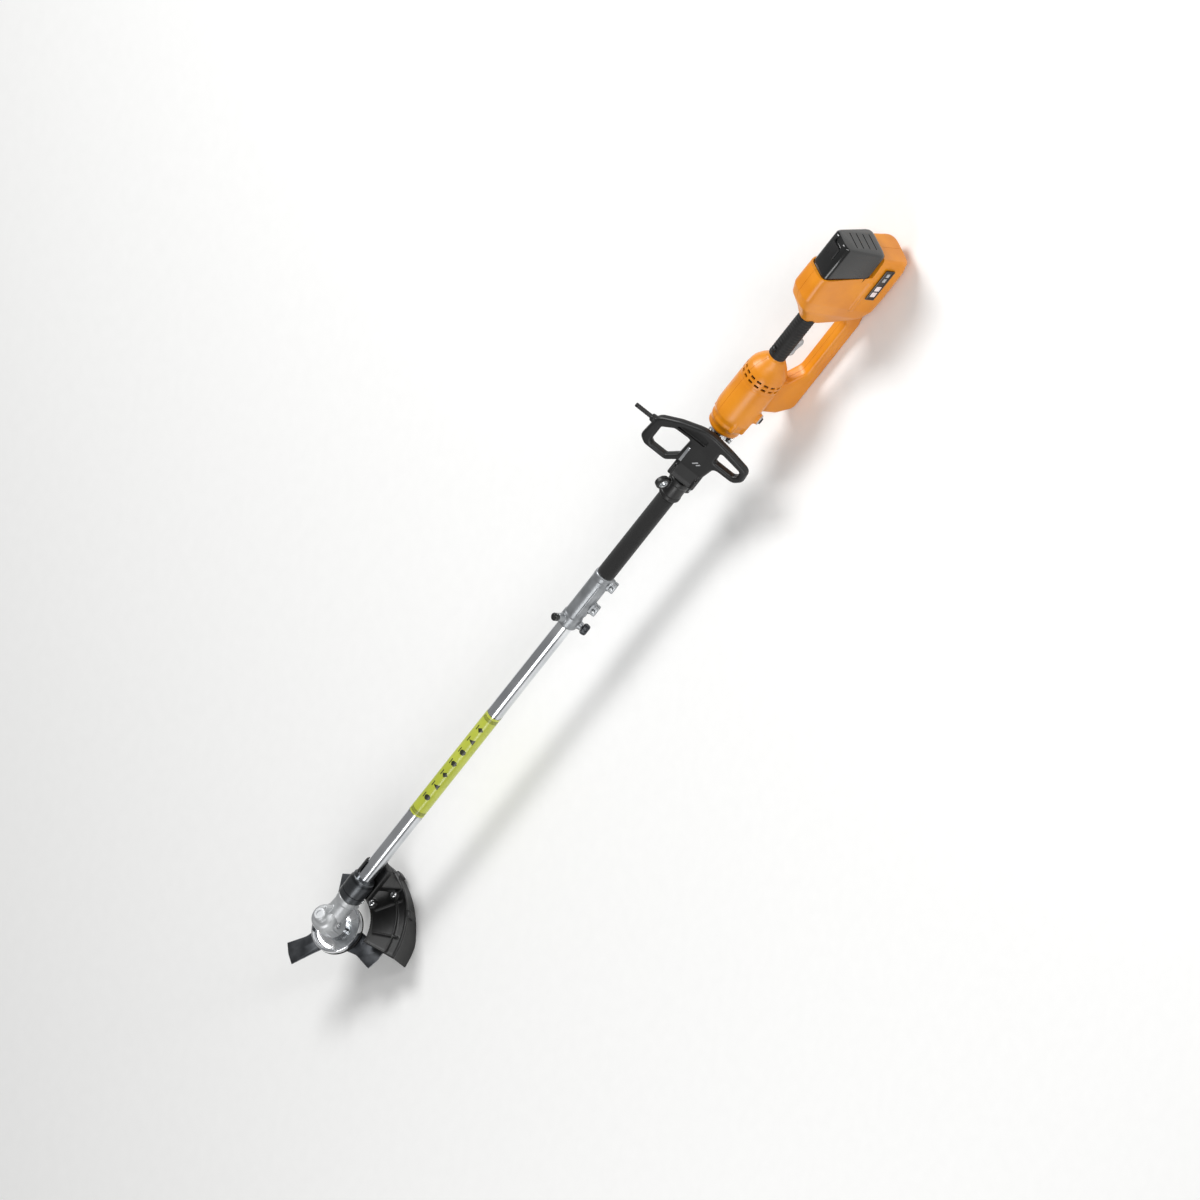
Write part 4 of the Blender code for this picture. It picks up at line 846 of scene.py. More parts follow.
def makeFoam():
    front, back = spanBack("foam_grip")
    rows = [(front, foam["bore"] + 0.0002), (front, foam["endRadius"] - 0.0005),
            (front + 0.0008, foam["endRadius"]),
            (front + foam["softEnd"], foam["radius"])]
    steps = 40
    for i in range(1, steps):
        place = front + foam["softEnd"] + (back - front - 2 * foam["softEnd"]) * i / steps
        rows.append((place, foam["radius"] - 0.00012 * (i % 2)))
    rows += [(back - foam["softEnd"], foam["radius"]), (back - 0.0008, foam["endRadius"]),
             (back, foam["endRadius"] - 0.0005), (back, foam["bore"] + 0.0002)]
    piece = lathe("foamGrip", rows, backFrame, 96, True, 60)
    dress(piece, evaFoam, "handle_unit", "foam", "foam_grip")


makeFoam()
print("tubes, label and foam done")


# Coupler: die-cast sleeve that joins the two tubes, with clamp ears, lock pin and knob

coupler = {"radius": 0.0168, "frontRadius": 0.0182, "bore": 0.0143, "earSize": (0.018, 0.020,
           0.0150), "earBacks": (0.821, 0.879), "pinBack": 0.778, "ribTurns": (60, 120, 180, 240)}


def makeCoupler():
    look = coupler
    front, back = spanBack("coupler_body")
    radius, wide = look["radius"], look["frontRadius"]
    profile = [(front, 0), (front, wide - 0.0012), (front + 0.0010, wide - 0.0004),
               (front + 0.0030, wide), (front + 0.0220, wide), (front + 0.0255, radius)]
    profile += [(back - 0.0120, radius), (back - 0.0105, radius + 0.0008),
                (back - 0.0030, radius + 0.0008), (back - 0.0010, radius),
                (back, radius - 0.0008), (back, 0)]
    parts = [lathe("sleeve", profile, backFrame, 72)]
    for place in look["earBacks"]:
        parts.append(block("ear", look["earSize"], earFrame @ at(-place, 0.0190, 0), 0.0022, 3))
        parts.append(block("earRoot", (0.024, 0.012, 0.0110), earFrame @ at(-place, 0.0150, 0),
                           0.0025))
        parts.append(lathe("seatRing", [(0, 0.0052), (0.0076, 0.0052)],
                           earFrame @ at(-place, 0.0225, 0), 32))
    parts.append(lathe("pinBoss", [(0.0100, 0.0088), (0.0180, 0.0080), (0.0285, 0.0070)],
                       toolFrame @ at(-look["pinBack"], 0, 0), 40))
    parts.append(lathe("knobBoss", [(0.0100, 0.0090), (0.0180, 0.0080), (0.0238, 0.0071)],
                       earFrame @ at(-look["pinBack"], 0, 0) @ turnX(-90), 40))
    for turn in look["ribTurns"]:
        parts.append(block("rib", (0.0030, 0.0024, 0.0700), backFrame @ turnZ(turn)
                           @ at(radius - 0.0002, 0, (front + back) / 2 + 0.006), 0.0007))
    piece = melt("couplerBody", parts, 0.0008, 3)
    cutters = [lathe("bore", [(front - 0.01, look["bore"]), (back + 0.01, look["bore"])],
                     backFrame, 72),
               lathe("pinWay", [(0.010, 0.0034), (0.040, 0.0034)],
                     toolFrame @ at(-look["pinBack"], 0, 0), 32),
               lathe("knobWay", [(0.010, 0.0034), (0.040, 0.0034)],
                     earFrame @ at(-look["pinBack"], 0, 0) @ turnX(-90), 32)]
    for place in look["earBacks"]:
        cutters.append(block("slit", (0.026, 0.016, 0.0016), earFrame @ at(-place, 0.0222, 0)))
        cutters.append(lathe("screwWay", [(-0.03, 0.0024), (0.03, 0.0024)],
                             earFrame @ at(-place, 0.0225, 0), 24))
    carve(piece, cutters)
    dress(piece, couplerAluminium, "handle_unit", "cast_aluminium", "coupler_body")


makeCoupler()

knob = {"lobes": 8, "lobeDepth": 0.0011, "radius": 0.0105, "seat": 0.0243}


def makeKnob():
    steps = knob["lobes"] * 12
    rings = []
    for z, radius, depth in ((-0.0090, 0.0028, 0), (-0.0002, 0.0030, 0), (0, 0.0078, 0),
                             (0.0012, 0.0090, 0.5), (0.0028, knob["radius"], 1),
                             (0.0062, knob["radius"], 1), (0.0090, 0.0100, 1),
                             (0.0108, 0.0092, 0.7), (0.0119, 0.0078, 0.3), (0.0122, 0.0060, 0),
                             (0.0116, 0.0052, 0), (0.0115, 0.0010, 0)):
        ring = []
        for i in range(steps):
            turn = 2 * math.pi * i / steps
            dip = depth * knob["lobeDepth"] * (0.5 - 0.5 * math.cos(turn * knob["lobes"])) ** 2
            ring.append(((radius - dip) * math.cos(turn), (radius - dip) * math.sin(turn), z))
        rings.append(ring)
    where = earFrame @ at(-coupler["pinBack"], knob["seat"], 0) @ turnX(-90)
    dress(loft("couplerKnob", rings, where), darkAluminium, "lock_knob", "dark_aluminium",
          "coupler_knob")
    pin = lathe("releasePin", [(-0.0125, 0.0020), (-0.0120, 0.0029), (-0.0001, 0.0029),
                               (0, 0.0066), (0.0006, 0.0070), (0.0030, 0.0070),
                               (0.0034, 0.0063), (0.0046, 0.0063), (0.0050, 0.0070),
                               (0.0072, 0.0070), (0.0084, 0.0062), (0.0090, 0.0048),
                               (0.0086, 0.0036), (0.0085, 0.0004)],
                toolFrame @ at(-coupler["pinBack"], 0, 0.0293), 48)
    dress(pin, glossBlack, "shaft_pin", "gloss_black", "release_pin")


makeKnob()


# Hanger: split ring with a strap eye

hanger = {"radius": 0.0200, "eyeBack": 1.1215, "eyeHeight": 0.0330, "eyeRadius": 0.0124,
          "eyeHole": 0.0060, "lugBack": 1.115}


def makeHanger():
    look = hanger
    front, back = spanBack("hanger_clamp")
    radius = look["radius"]
    eye = toolFrame @ at(-look["eyeBack"], 0, look["eyeHeight"]) @ turnX(90)
    parts = [lathe("ring", [(front, radius - 0.0016), (front + 0.0020, radius),
                            (front + 0.0080, radius), (front + 0.0092, radius - 0.0010),
                            (back - 0.0110, radius - 0.0010), (back - 0.0095, radius),
                            (back - 0.0020, radius), (back, radius - 0.0016)], backFrame, 72),
             lathe("eye", [(-0.0050, look["eyeRadius"] - 0.0015), (-0.0040, look["eyeRadius"]),
                           (0.0040, look["eyeRadius"]), (0.0050, look["eyeRadius"] - 0.0015)],
                   eye, 56),
             block("post", (0.0180, 0.0078, 0.0200), toolFrame @ at(-look["eyeBack"], 0, 0.0240),
                   0.0020),
             block("lug", (0.0200, 0.0120, 0.0180), toolFrame @ at(-look["lugBack"], 0, -0.0235),
                   0.0025)]
    piece = melt("hangerClamp", parts, 0.0008, 3)
    carve(piece, [lathe("bore", [(1.0, 0.0143), (1.2, 0.0143)], backFrame, 72),
                  lathe("eyeHole", [(-0.02, look["eyeHole"]), (0.02, look["eyeHole"])], eye, 40),
                  block("slit", (0.06, 0.0020, 0.030), toolFrame @ at(-look["lugBack"], 0,
                                                                      -0.030)),
                  lathe("screwWay", [(-0.03, 0.0029), (0.03, 0.0029)],
                        toolFrame @ at(-look["lugBack"], 0, -0.0270) @ turnX(90), 24)])
    dress(piece, blackNylon, "handle_unit", "black_nylon", "hanger_clamp")
    eyelet = lathe("hangerEyelet", [(-0.0054, 0.0062), (-0.0056, 0.0072), (-0.0052, 0.0078),
                                    (-0.0050, 0.0058), (0.0050, 0.0058), (0.0052, 0.0078),
                                    (0.0056, 0.0072), (0.0054, 0.0062), (0.0048, 0.0053),
                                    (-0.0048, 0.0053)], eye, 56, True)
    dress(eyelet, zincSteel, "handle_unit", "zinc_steel")


makeHanger()
print("coupler and hanger done")


# Front handle: a closed loop over the shaft, clamped round the upper tube

leanTurn = math.radians(75)
planeTurn = Matrix(((0, -math.sin(leanTurn), math.cos(leanTurn), 0), (1, 0, 0, 0),
                    (0, math.cos(leanTurn), math.sin(leanTurn), 0), (0, 0, 0, 1)))
loopPlane = loopFrame @ at(0, 0, 0.026) @ planeTurn  # x is the loop's width, y climbs rearward
loopHandle = {
    "outer": [(-0.100, -0.004, 0.016), (-0.086, -0.015, 0.012), (-0.042, -0.015, 0.012),
              (-0.026, 0.004, 0.008), (0.026, 0.004, 0.008), (0.033, 0.042, 0.012),
              (0.072, 0.043, 0.016), (0.084, 0.060, 0.016), (0.082, 0.088, 0.016),
              (0.040, 0.099, 0.060), (-0.012, 0.108, 0.060), (-0.060, 0.084, 0.060),
              (-0.096, 0.058, 0.026)],
    "leftWindow": [(-0.080, 0.002, 0.006), (-0.074, -0.004, 0.005), (-0.047, -0.004, 0.005),
                   (-0.030, 0.018, 0.006), (-0.028, 0.064, 0.006), (-0.060, 0.062, 0.010),
                   (-0.080, 0.044, 0.008)],
    "rightWindow": [(0.026, 0.056, 0.006), (0.064, 0.056, 0.008), (0.071, 0.064, 0.006),
                    (0.069, 0.076, 0.006), (0.026, 0.084, 0.006)],
    "archPocket": [(-0.062, 0.0700, 0.004), (-0.030, 0.0720, 0.006), (-0.002, 0.0720, 0.004),
                   (0.000, 0.0900, 0.006), (-0.022, 0.0945, 0.030), (-0.050, 0.0800, 0.010)],
    "thickness": 0.0138, "rounding": 0.0046, "clampHalf": (0.0308, 0.0268), "pocketDepth": 0.0045,
    "screwReach": (0.0190, 0.0210), "rodHeight": 0.044}


def makeLoopHandle():
    look = loopHandle
    thick = look["thickness"]
    loops = [rounded(look[key], 7) for key in ("outer", "leftWindow", "rightWindow")]
    reachX, reachY = look["clampHalf"]
    parts = [slab("frame", loops, thick, loopPlane, look["rounding"], 4),
             block("post", (reachX * 2, reachY * 2, 0.0292), loopFrame @ at(0, 0, 0.0153),
                   0.0034, 3),
             block("shoulder", (0.036, 0.044, 0.0100), loopFrame @ at(0.008, 0, 0.0270)
                   @ turnY(10), 0.0040, 3),
             block("rodSocket", (0.0200, 0.0142, 0.0132), loopPlane
                   @ at(-0.0950, look["rodHeight"], 0), 0.0058, 3)]
    for side in (1, -1):
        parts.append(block("gusset", (0.0240, 0.0040, 0.0140), loopFrame
                           @ at(0.0160, side * 0.0220, 0.0280) @ turnY(20), 0.0015))
    piece = melt("loopHandle", parts, 0.0011, 3)
    pocket = rounded(look["archPocket"], 5)
    cutters = [lathe("bore", [(-0.2, 0.0143), (0.2, 0.0143)], backFrame @ at(0, 0, loopMiddle),
                     72),
               block("splitPlane", (0.2, 0.3, 0.040), loopFrame @ at(0.02, 0, -0.0197)),
               slab("pocket", [pocket], 0.02, loopPlane
                    @ at(0, 0, thick / 2 + 0.0100 - look["pocketDepth"]), 0.0012),
               lathe("rodRoom", [(-0.010, 0.0043), (0.0160, 0.0043)], loopPlane
                     @ at(-0.1000, look["rodHeight"], 0) @ turnY(90), 32)]
    for x in (-1, 1):
        for y in (-1, 1):
            spot = (x * look["screwReach"][0], y * look["screwReach"][1], 0)
            cutters.append(lathe("screwWay", [(-0.030, 0.0026), (0.0070, 0.0026)],
                                 loopFrame @ at(*spot), 20))
    carve(piece, cutters)
    dress(piece, blackNylon, "front_handle", "black_nylon", "loop_handle")
    # a polished strip laid on as a painted highlight along the clamp block's edge, and a pair of
    # plain slanting bars on the clamp block
    highlightStrip = block("clampTrim", (0.0050, 0.0400, 0.0016), loopPlane
                 @ at(-0.0215, 0.0300, thick / 2), 0.0006)
    dress(highlightStrip, polishedTube, "front_handle", "polished_tube")
    marks = []
    for shift, length in ((0.0, 0.0120), (0.0062, 0.0085)):
        marks.append(block("mark", (length, 0.0022, 0.0010), loopPlane
                           @ at(0.0020 + shift, 0.0280, thick / 2) @ turnZ(52), 0.0003))
    dress(gather("clampMarks", marks), greyNylon, "front_handle", "grey_nylon")


makeLoopHandle()

loopCap = {"depth": 0.0215, "edge": 0.0055}


def makeLoopCap():
    reachX, reachY = loopHandle["clampHalf"]
    depth = loopCap["depth"]
    parts = [block("cap", (reachX * 2, reachY * 2, depth), loopFrame @ at(0, 0, -depth / 2),
                   loopCap["edge"], 4)]
    for x in (-0.010, 0, 0.010):
        parts.append(block("rib", (0.0026, 0.0300, 0.0060), loopFrame @ at(x, 0, 0.0018 - depth),
                           0.0008))
    piece = melt("loopClampCap", parts, 0.0011, 2)
    cutters = [lathe("bore", [(-0.2, 0.0143), (0.2, 0.0143)], backFrame @ at(0, 0, loopMiddle),
                     72),
               block("joint", (0.2, 0.2, 0.02), loopFrame @ at(0, 0, 0.00985)),
               block("under", (0.2, 0.2, 0.02), loopFrame @ at(0, 0, -depth - 0.0100))]
    for x in (-1, 1):
        for y in (-1, 1):
            spot = (x * loopHandle["screwReach"][0], y * loopHandle["screwReach"][1], 0)
            cutters.append(lathe("screwWay", [(-0.050, 0.0026), (0.0070, 0.0026)],
                                 loopFrame @ at(*spot), 20))
    carve(piece, cutters)
    dress(piece, blackNylon, "front_handle", "black_nylon", "loop_clamp_cap")


makeLoopCap()

barrier = {"radius": 0.0040, "length": 0.0500, "groove": 0.00035, "pitch": 0.0040}


def makeBarrierRod():
    half, radius = barrier["length"] / 2, barrier["radius"]
    rows = [(-half, 0), (-half, radius - 0.0018), (-half + 0.0006, radius - 0.0007),
            (-half + 0.0018, radius)]
    place = -half + 0.0050
    while place < 0.002:
        rows += [(place, radius), (place + 0.0004, radius - barrier["groove"]),
                 (place + 0.0012, radius - barrier["groove"]), (place + 0.0016, radius)]
        place += barrier["pitch"]
    rows += [(half - 0.0008, radius), (half, radius - 0.0008), (half, 0)]
    where = loopPlane @ at(-0.1120, loopHandle["rodHeight"], 0) @ turnY(90)
    rod = lathe("barrierRod", rows, where, 40)
    rod.data.transform(where)
    rod.matrix_world = Matrix.Identity(4)
    dress(rod, blackNylon, "front_handle", "black_nylon", "barrier_rod")


makeBarrierRod()
print("front handle done")


# Nose collar: polished clamp ring at the front of the motor unit

noseCollar = {"radius": 0.0178, "lug": (0.0135, 0.0120, 0.0130), "lugReach": 0.0215}


def makeNoseCollar():
    front, back = spanBack("nose_collar")
    middle = (front + back) / 2
    radius = noseCollar["radius"]
    parts = [lathe("ring", [(front, 0), (front, radius - 0.0016), (front + 0.0016, radius - 0.0002),
                            (front + 0.0060, radius - 0.0002), (front + 0.0072, radius - 0.0010),
                            (front + 0.0110, radius - 0.0010), (front + 0.0122, radius - 0.0002),
                            (back - 0.0012, radius - 0.0004), (back, radius - 0.0016), (back, 0)],
                   backFrame, 80),
             block("lug", noseCollar["lug"], earFrame @ at(-middle, noseCollar["lugReach"], 0),
                   0.0018, 3)]
    piece = melt("noseCollar", parts, 0.0006, 2)
    carve(piece, [lathe("bore", [(front - 0.01, 0.0143), (back + 0.01, 0.0143)], backFrame, 72),
                  lathe("screwWay", [(-0.02, 0.0024), (0.02, 0.0024)],
                        earFrame @ at(-middle, 0.0235, 0), 24),
                  block("slit", (0.04, 0.0150, 0.0014), earFrame @ at(-middle, 0.0225, 0))])
    dress(piece, brightChrome, "handle_unit", "bright_chrome", "nose_collar")


makeNoseCollar()


# Motor unit housing: barrel, hoop and battery shell flow into one clamshell, split down its middle

housing = {
    "barrel": [(1.2670, 0), (1.2670, 0.0262), (1.2682, 0.0270), (1.2698, 0.0288), (1.2712, 0.0298),
               (1.2740, 0.0300), (1.2760, 0.0292), (1.2785, 0.0292), (1.2800, 0.0300),
               (1.2828, 0.0302), (1.2850, 0.0322), (1.2870, 0.0325), (1.2900, 0.0325),
               (1.2915, 0.0317), (1.2945, 0.0317), (1.2960, 0.0325), (1.2985, 0.0328),
               (1.3020, 0.0350), (1.3100, 0.0362), (1.3180, 0.0364), (1.3800, 0.0364),
               (1.3830, 0.0356), (1.3850, 0.0356), (1.3880, 0.0364), (1.4020, 0.0360),
               (1.4100, 0.0352), (1.4170, 0.0336), (1.4240, 0.0300), (1.4300, 0.0264),
               (1.4360, 0.0214), (1.4410, 0.0172), (1.4430, 0.0150), (1.4430, 0)],
    "arm": [(1.322, -0.010, 0), (1.322, -0.070, 0.016), (1.338, -0.100, 0.016),
            (1.548, -0.100, 0.022), (1.600, -0.0870, 0.022), (1.640, -0.0860, 0),
            (1.640, -0.0200, 0), (1.574, -0.0200, 0), (1.564, -0.0500, 0.014),
            (1.548, -0.0715, 0.014), (1.420, -0.0715, 0.018), (1.394, -0.0500, 0.014),
            (1.390, -0.0100, 0)],
    "armHalf": 0.0146, "armRounding": 0.0062,
    # back, half width, low, high, corner, share of the width left at the top
    "shell": [(1.5460, 0.0150, -0.0180, 0.0220, 0.012, 0.80),
              (1.5620, 0.0230, -0.0480, 0.0340, 0.014, 0.80),
              (1.5840, 0.0338, -0.0764, 0.0560, 0.018, 0.80),
              (1.6060, 0.0385, -0.0840, 0.0650, 0.020, 0.75),
              (1.6400, 0.0385, -0.0860, 0.0660, 0.020, 0.72),
              (1.7000, 0.0380, -0.0860, 0.0650, 0.020, 0.72),
              (1.7220, 0.0360, -0.0810, 0.0630, 0.018, 0.72),
              (1.7260, 0.0335, -0.0770, 0.0610, 0.018, 0.72)],
    "grain": 0.0016, "seam": 0.0006, "ventBacks": (1.3932, 1.4026),
    "ventTurns": range(-110, 111, 22), "lobeTurns": (-150, -110, -70, 70, 110, 150)}
bay = {"front": 1.6065, "room": 0.0006, "half": 0.034, "low": -0.024, "high": 0.060,
       "corner": 0.012, "taper": 0.70}


def crossSection(back, half, low, high, corner, taper, steps=5):
    corners = [(-half, low, corner), (half, low, corner), (half * taper, high, corner),
               (-half * taper, high, corner)]
    return [(-back, y, z) for y, z in rounded(corners, steps)]


def eased(rows, count):
    # rows spaced evenly between the given ones
    found = []
    for near, far in zip(rows, rows[1:]):
        for i in range(count):
            share = i / count
            found.append(tuple(a + (b - a) * share for a, b in zip(near, far)))
    return found + [rows[-1]]


def sideSlab(name, corners, half, edge):
    # a side view of (back, height, fillet) corners given width across the tool
    outline = rounded([(-back, z, fillet) for back, z, fillet in corners], 8)
    return slab(name, [outline], half * 2, toolFrame @ turnX(90), edge, 4)


def bayForm(name, extra, front, back):
    rings = [crossSection(place, bay["half"] + extra, bay["low"] - extra, bay["high"] + extra,
                          bay["corner"], bay["taper"]) for place in (front, back)]
    return loft(name, rings, toolFrame)


def makeHousing():
    look = housing
    parts = [lathe("barrel", look["barrel"], backFrame, 96),
             sideSlab("arm", look["arm"], look["armHalf"], look["armRounding"]),
             loft("shell", [crossSection(*row) for row in eased(look["shell"], 3)], toolFrame),
             lathe("core", [(1.425, 0.0130), (1.570, 0.0130)], backFrame @ at(0.005, 0, 0), 64),
             lathe("buttonBoss", [(0.0280, 0.0112), (0.0400, 0.0102), (0.0418, 0.0094)],
                   earFrame @ at(-1.322, 0, 0) @ turnX(-90), 48)]
    for turn in look["lobeTurns"]:  # screw towers round the nose
        parts.append(lathe("tower", [(1.2840, 0.0030), (1.2850, 0.0042), (1.3060, 0.0050),
                                     (1.3160, 0.0040)],
                           backFrame @ turnZ(turn) @ at(0.0322, 0, 0), 32))
    for side in (1, -1):  # a raised swage along each flank of the shell and of the hoop
        parts.append(block("flank", (0.0700, 0.0040, 0.0070), toolFrame
                           @ at(-1.640, side * 0.0362, -0.0290) @ turnZ(side * 0.5), 0.0018, 3))
        parts.append(block("hoopRib", (0.1300, 0.0020, 0.0060), toolFrame
                           @ at(-1.470, side * 0.0144, -0.0860), 0.0009))
    body = melt("housing", parts, look["grain"], 4)
    cutters = [
        bayForm("bay", bay["room"], bay["front"], 1.760),
        loft("rim", [[(-back, y, z) for back, z in ((1.652, 0.080), (1.684, -0.0248),
                                                    (1.760, -0.0248), (1.760, 0.080))]
                     for y in (-0.06, 0.06)], toolFrame),
        lathe("motorRoom", [(1.3115, 0.0330), (1.4070, 0.0330), (1.4125, 0.0290)], backFrame, 72),
        lathe("noseBore", [(1.2565, 0.0143), (1.2860, 0.0143), (1.2861, 0.0173),
                           (1.3120, 0.0173)], backFrame, 72),
        lathe("rearSeat", [(1.4005, 0.0113), (1.4205, 0.0113)], backFrame, 48),
        block("panelRecess", (0.0720, 0.0100, 0.0190), toolFrame @ at(-1.672, 0.0405, -0.0480),
              0.0010),
        block("switchRoom", (0.054, 0.013, 0.027), toolFrame @ at(-1.475, 0, -0.0005)),
        block("boardRoom", (0.090, 0.052, 0.046), toolFrame @ at(-1.650, 0, -0.0520)),
        block("terminalWay", (0.008, 0.018, 0.020), toolFrame @ at(-1.6125, 0, -0.0260)),
        lathe("lockBore", [(0.005, 0.0045), (0.025, 0.0045)], toolFrame @ at(-1.462, 0, 0), 32),
        lathe("buttonBore", [(0.0250, 0.0065), (0.0550, 0.0065)],
              earFrame @ at(-1.322, 0, 0) @ turnX(-90), 40),
        lathe("pivotBore", [(-0.0078, 0.0018), (0.0078, 0.0018)],
              toolFrame @ at(-1.452, 0, -0.004) @ turnX(90), 24)]
    for node in ("housing_screw_1", "housing_screw_2"):
        low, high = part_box(node)
        spot = ((low[0] + high[0]) / 2, gearPoint.y, (low[2] + high[2]) / 2)
        cutters.append(lathe("screwWay", [(-0.0080, 0.0020), (0.0115, 0.0020), (0.01151, 0.0037),
                                          (0.0300, 0.0037)], at(*spot) @ turnX(90), 32))
    for back in look["ventBacks"]:
        for turn in look["ventTurns"]:
            cutters.append(block("vent", (0.0130, 0.0088, 0.0046), backFrame
                                 @ turnZ(turn) @ at(0.0360, 0, back), 0.0012))
    for cutter in cutters:
        carve(body, [cutter])
    for side, node in ((1, "housing_left"), (-1, "housing_right")):
        work = bmesh.new()
        work.from_mesh(body.data)
        seam = (0, gearPoint.y + side * look["seam"] / 2, 0)
        cut = bmesh.ops.bisect_plane(work, geom=work.verts[:] + work.edges[:] + work.faces[:],
                                     plane_co=seam, plane_no=(0, -side, 0), clear_outer=True)
        rim = [item for item in cut["geom_cut"] if isinstance(item, bmesh.types.BMEdge)]
        bmesh.ops.triangle_fill(work, edges=rim, use_beauty=True)
        piece = putMesh(pieceName(node), work, None, 35)
        dress(piece, yellowNylon, "handle_unit", "yellow_nylon", node)
    bpy.data.objects.remove(body)


makeHousing()
print("housing done")


# Grip: ribbed rubber sleeve, trigger, lock button and speed key

grip = {"front": 1.447, "back": 1.552, "height": 0.005, "radius": 0.0160, "bore": 0.0133,
        "ribDepth": 0.0007, "ribPitch": 0.0062}


def makeGrip():
    look = grip
    where = backFrame @ at(look["height"], 0, 0)
    rows = [(look["front"], look["radius"] - 0.0016), (look["front"] + 0.0005,
            look["radius"] - 0.0006), (look["front"] + 0.0020, look["radius"]),
            (look["front"] + 0.0045, look["radius"])]
    rows += ribbed(look["front"] + 0.0060, look["back"] - 0.0050, look["radius"],
                   look["ribDepth"], look["ribPitch"])
    rows += [(look["back"] - 0.0035, look["radius"]), (look["back"] - 0.0012, look["radius"]),
             (look["back"], look["radius"] - 0.0014), (look["back"], look["bore"]),
             (look["front"], look["bore"])]
    piece = lathe("gripCover", rows, where, 96, True)
    shellRoom = [crossSection(place, half + 0.0005, low - 0.0005, high + 0.0005, corner, 0.8)
                 for place, half, low, high, corner in ((1.5455, 0.0150, -0.0180, 0.0220, 0.012),
                                                        (1.5615, 0.0230, -0.0480, 0.0340, 0.014))]
    for cutter in (block("triggerSlot", (0.0570, 0.0130, 0.020), toolFrame
                         @ at(-1.4685, 0, -0.0120), 0.0010),
                   lathe("lockSlot", [(0.010, 0.0050), (0.030, 0.0050)],
                         toolFrame @ at(-1.462, 0, 0), 40),
                   loft("shellRoom", shellRoom, toolFrame)):
        carve(piece, [cutter])
    dress(piece, softRubber, "handle_unit", "soft_rubber", "grip_cover")


makeGrip()

trigger = {"outline": [(-0.0015, 0.0030, 0.002), (-0.0025, -0.0040, 0.002),
                       (0.004, -0.0185, 0.006), (0.016, -0.0165, 0.010),
                       (0.032, -0.0215, 0.005), (0.040, -0.0180, 0.004), (0.041, 0.0010, 0.002)],
           "half": 0.0054, "grooves": 4}


def makeTrigger():
    pivot = Vector(joints["trigger_pull"]["pos_m"])
    outline = rounded([(-back, z, fillet) for back, z, fillet in trigger["outline"]], 8)
    where = Matrix.Translation(pivot) @ turnX(90)
    piece = slab("trigger", [outline], trigger["half"] * 2, where, 0.0016, 4)
    cutters = [lathe("pivotWay", [(-0.02, 0.0018), (0.02, 0.0018)], where, 32)]
    for side in (1, -1):
        cutters.append(block("sideRelief", (0.0220, 0.0090, 0.0012), where
                             @ at(-0.0210, -0.0080, side * 0.0056), 0.0004))
    for i in range(trigger["grooves"]):
        cutters.append(block("fingerGroove", (0.0009, 0.0020, 0.0078), where
                             @ at(-0.0115 - i * 0.0030, -0.0176, 0), 0.0003))
    for cutter in cutters:
        carve(piece, [cutter])
    dress(piece, greyNylon, "trigger_lever", "grey_nylon", "trigger")


makeTrigger()


def makeButtons():
    lock = [(-0.0020, 0.0038), (-0.0016, 0.0042), (0.0062, 0.0042), (0.0074, 0.0037),
            (0.0078, 0.0030), (0.0074, 0.0024), (0.0079, 0.0018), (0.0085, 0.0006)]
    dress(lathe("lockOffButton", lock, toolFrame @ at(-1.462, 0, 0.0160), 48), blackNylon,
          "lock_button", "black_nylon", "lock_off_button")
    speed = [(-0.0030, 0.0056), (-0.0026, 0.0060), (0.0066, 0.0060), (0.0078, 0.0054),
             (0.0083, 0.0046), (0.0078, 0.0040), (0.0082, 0.0030), (0.0078, 0.0022),
             (0.0085, 0.0008)]
    dress(lathe("speedButton", speed, earFrame @ at(-1.322, 0.0375, 0) @ turnX(-90), 48),
          blackNylon, "speed_key", "black_nylon", "speed_button")
    ring = lathe("speedButtonRing", [(0.0406, 0.0069), (0.0424, 0.0072), (0.0430, 0.0080),
                                     (0.0427, 0.0092), (0.0406, 0.0096)],
                 earFrame @ at(-1.322, 0, 0) @ turnX(-90), 56, True)
    dress(ring, greyNylon, "handle_unit", "grey_nylon")


makeButtons()
print("grip done")


# Battery: gloss case with chamfered shoulders, latch and rear panel

battery = {"front": 1.608, "back": 1.735, "latchBack": 1.708}


